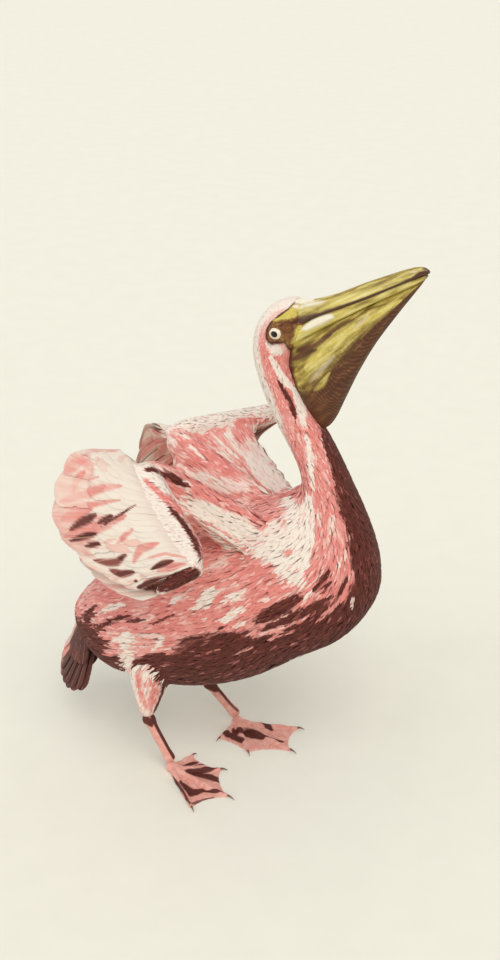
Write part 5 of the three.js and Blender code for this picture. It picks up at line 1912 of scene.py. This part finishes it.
def build_floor(material):
    """A wide level floor: a grid whose steps widen with the cube of the way out."""
    steps = FLOOR_REACH * np.linspace(-1, 1, FLOOR_STEPS + 1) ** 3
    u, v = np.meshgrid(steps, steps)
    points = np.stack([u, v, 0 * u], axis=-1).reshape(-1, 3) - SHIFT * 1000
    a = np.arange(FLOOR_STEPS)[:, None] * (FLOOR_STEPS + 1) + np.arange(FLOOR_STEPS)[None]
    b = a + FLOOR_STEPS + 1
    mesh = make_mesh("Floor", points, np.stack([a, a + 1, b + 1, b], axis=-1).reshape(-1, 4))
    mesh.materials.append(material)
    in_scene("Floor", mesh)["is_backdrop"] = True


def add_light(name, way, strength, softness, warmth):
    """A far soft light that shines from the way given, the same all over the floor."""
    light = bpy.data.lights.new(name, "SUN")
    light.energy = strength
    light.angle = math.radians(softness)
    light.color = linear(warmth)
    in_scene(name, light).rotation_euler = Vector(way).to_track_quat("Z", "Y").to_euler()


def build_stage(stage):
    """The floor, the lights, a pale world and the camera."""
    scene = bpy.context.scene
    build_floor(floor_material(stage))
    add_light("Key", (0.5, -0.9, 1.3), 1.3 * stage.light, 35, "#fffaf4")
    add_light("Glint", (-0.2, -0.7, 1.2), 0.1 * stage.light, 7, "#ffffff")
    add_light("Fill", (-0.9, -0.8, 0.6), 0.5 * stage.light, 60, "#f2f4ff")
    world = bpy.data.worlds.new("Studio")
    scene.world = world
    world.use_nodes = True
    sky = world.node_tree.nodes["Background"]
    sky.inputs["Color"].default_value = solid("#f4f3ef")
    sky.inputs["Strength"].default_value = stage.sky
    camera = bpy.data.cameras.new("Camera")
    camera.lens = stage.lens
    scene.camera = in_scene("Camera", camera)
    a, e = stage.azimuth, stage.elevation
    back = Vector((math.sin(a) * math.cos(e), -math.cos(a) * math.cos(e), math.sin(e)))
    scene.camera.location = Vector(np.array(AIM) + SHIFT) + back * stage.distance
    scene.camera.rotation_euler = back.to_track_quat("Z", "Y").to_euler()
    scene.view_settings.view_transform = "Standard"


# ---------------------------------------------------------------- settings
def colour_prop(name, description, code):
    """A colour property from a hex code."""
    return bpy.props.FloatVectorProperty(name=name, description=description, subtype="COLOR", size=3, min=0,
                                         max=1, default=linear(code))


class PelicanPlumage(bpy.types.PropertyGroup):
    """The coat."""
    rose: colour_prop("Rose", "The deeper pink of the feathers", "#e38c84")
    pale_rose: colour_prop("Pale rose", "The paler pink of the feathers", "#f2c6bb")
    cream: colour_prop("Cream", "The pale bands and streaks", "#f4e8dc")
    # On the underparts, the foreneck, the rump and the tail the umber is partly painted shade.
    umber: colour_prop("Umber", "The dark brown of the underparts and flight feathers", "#623028")
    cover: bpy.props.FloatProperty(name="Cover", description="How many body feathers lie over every place",
                                   default=4.1, min=1, max=6)
    slimness: bpy.props.FloatProperty(name="Width", description="A body feather's width over its length",
                                      default=0.13, min=0.05, max=0.5, subtype="FACTOR")
    seed: bpy.props.IntProperty(name="Seed", description="Start of the random lay of the feathers", default=5)


class PelicanBill(bpy.types.PropertyGroup):
    """The bill, the pouch and the bare face."""
    yellow: colour_prop("Yellow", "The horn of the bill", "#d0be5e")
    pouch: colour_prop("Pouch", "The stretched skin of the pouch", "#9a8238")
    brown: colour_prop("Brown", "The dark lines and folds", "#582d1a")


class PelicanLegs(bpy.types.PropertyGroup):
    """The legs and feet."""
    skin: colour_prop("Skin", "The bare skin of the legs and toes", "#e8a597")
    # The web colour also paints the shade down the shanks' fronts and round the hocks.
    web: colour_prop("Web", "The dark middles of the webs", "#5c2a22")
    claw: colour_prop("Claw", "The horn of the claws", "#7a5648")
    voxel: bpy.props.FloatProperty(name="Fineness", description="Size of the steps of the feet's surface",
                                   default=0.0017, min=0.0008, max=0.004, subtype="DISTANCE", unit="LENGTH")


class PelicanStage(bpy.types.PropertyGroup):
    """The floor, the lights and the camera."""
    floor_colour: colour_prop("Floor", "The painted floor", "#ecebdf")
    light: bpy.props.FloatProperty(name="Light", description="Strength of the lamps", default=0.89, min=0)
    sky: bpy.props.FloatProperty(name="Sky", description="Strength of the light from all round", default=0.78,
                                 min=0)
    azimuth: bpy.props.FloatProperty(name="Azimuth", description="Camera's turn from the bird's right side",
                                     default=math.radians(18), subtype="ANGLE", unit="ROTATION")
    elevation: bpy.props.FloatProperty(name="Elevation", description="Camera's angle above the level",
                                       default=math.radians(26), subtype="ANGLE", unit="ROTATION")
    distance: bpy.props.FloatProperty(name="Distance", description="From the camera to the bird's middle",
                                      default=3.3, min=1, subtype="DISTANCE", unit="LENGTH")
    lens: bpy.props.FloatProperty(name="Lens", description="Focal length in millimetres", default=56.3,
                                  min=10, unit="CAMERA")


# ---------------------------------------------------------------- operators
class PELICAN_OT_skin(bpy.types.Operator):
    """Build one skin over trunk, neck, head, thighs and arms"""
    bl_idname = "pelican.skin"
    bl_label = "Skin"

    def execute(self, context):
        scene = context.scene
        build_skin(skin_material(scene.pelican_plumage, scene.pelican_bill))
        return {"FINISHED"}


class PELICAN_OT_coat(bpy.types.Operator):
    """Grow the body feathers over the skin"""
    bl_idname = "pelican.coat"
    bl_label = "Coat"

    def execute(self, context):
        hues = context.scene.pelican_plumage
        skin = bpy.data.objects.get("Skin")
        if skin is None:
            raise RuntimeError("the coat needs the skin first")
        grow_coat(skin, hues.cover, hues.slimness, hues.seed, feather_material(hues))
        return {"FINISHED"}


class PELICAN_OT_wings(bpy.types.Operator):
    """Lay the flight feathers and coverts of both wings"""
    bl_idname = "pelican.wings"
    bl_label = "Wings"

    def execute(self, context):
        material = shared("Feather keratin, long vanes", vane_material, context.scene.pelican_plumage)
        for name in SIDES:
            build_wing(name, material, material)
        return {"FINISHED"}


class PELICAN_OT_tail(bpy.types.Operator):
    """Lay the tail's fan and its coverts"""
    bl_idname = "pelican.tail"
    bl_label = "Tail"

    def execute(self, context):
        build_tail(shared("Feather keratin, long vanes", vane_material, context.scene.pelican_plumage))
        return {"FINISHED"}


class PELICAN_OT_bill(bpy.types.Operator):
    """Build the upper and lower bill"""
    bl_idname = "pelican.bill"
    bl_label = "Bill"

    def execute(self, context):
        material = horn_material(context.scene.pelican_bill)
        upper = functools.partial(bill_marks, lower=False)
        lower = functools.partial(bill_marks, lower=True)
        surface_piece("Bill_upper", upper_bill_surface, 220, 56, upper, "bill", material, "upper_bill")
        surface_piece("Bill_lower", lower_bill_surface, 160, 40, lower, "bill", material, "lower_bill")
        return {"FINISHED"}


class PELICAN_OT_pouch(bpy.types.Operator):
    """Build the pouch under the bill"""
    bl_idname = "pelican.pouch"
    bl_label = "Pouch"

    def execute(self, context):
        surface_piece("Pouch", pouch_surface, 210, 160, pouch_marks, "pouch",
                      pouch_material(context.scene.pelican_bill), "pouch")
        return {"FINISHED"}


class PELICAN_OT_eyes(bpy.types.Operator):
    """Build the eyeballs"""
    bl_idname = "pelican.eyes"
    bl_label = "Eyes"

    def execute(self, context):
        build_eyes(eye_material(context.scene.pelican_plumage))
        return {"FINISHED"}


class PELICAN_OT_legs(bpy.types.Operator):
    """Build the legs, webbed feet and claws"""
    bl_idname = "pelican.legs"
    bl_label = "Legs"

    def execute(self, context):
        legs = context.scene.pelican_legs
        skin, horn = leg_material(legs), claw_material(legs)
        for name in SIDES:
            build_leg(name, skin, horn, legs.voxel * 1000)
        return {"FINISHED"}


class PELICAN_OT_stage(bpy.types.Operator):
    """Set up the floor, the lights and the camera"""
    bl_idname = "pelican.stage"
    bl_label = "Stage"

    def execute(self, context):
        build_stage(context.scene.pelican_stage)
        return {"FINISHED"}


OPERATORS = (PELICAN_OT_skin, PELICAN_OT_coat, PELICAN_OT_wings, PELICAN_OT_tail, PELICAN_OT_bill,
             PELICAN_OT_pouch, PELICAN_OT_eyes, PELICAN_OT_legs, PELICAN_OT_stage)
SETTINGS = {"pelican_plumage": PelicanPlumage, "pelican_bill": PelicanBill, "pelican_legs": PelicanLegs,
            "pelican_stage": PelicanStage}


class PELICAN_PT_panel(bpy.types.Panel):
    """The pelican's settings, and a button for each of its pieces"""
    bl_idname = "PELICAN_PT_panel"
    bl_label = "Great White Pelican"
    bl_space_type = "VIEW_3D"
    bl_region_type = "UI"
    bl_category = "Pelican"

    def draw(self, context):
        for key, group in SETTINGS.items():
            column = self.layout.column(align=True)
            settings = getattr(context.scene, key)
            for name in group.__annotations__:
                column.prop(settings, name)
        for operator in OPERATORS:
            self.layout.operator(operator.bl_idname)


CLASSES = (*SETTINGS.values(), *OPERATORS, PELICAN_PT_panel)


def register():
    for cls in CLASSES:
        bpy.utils.register_class(cls)
    for key, group in SETTINGS.items():
        setattr(bpy.types.Scene, key, bpy.props.PointerProperty(type=group))


def unregister():
    for key in SETTINGS:
        delattr(bpy.types.Scene, key)
    for cls in reversed(CLASSES):
        bpy.utils.unregister_class(cls)


def main():
    register()
    for operator in OPERATORS:
        getattr(bpy.ops.pelican, operator.bl_idname.split(".")[1])()
    plain = lambda box: [[float(value) for value in corner] for corner in box]
    {"cad": plain(cad_box), "visual": plain(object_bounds())}


if __name__ == "__main__":
    main()
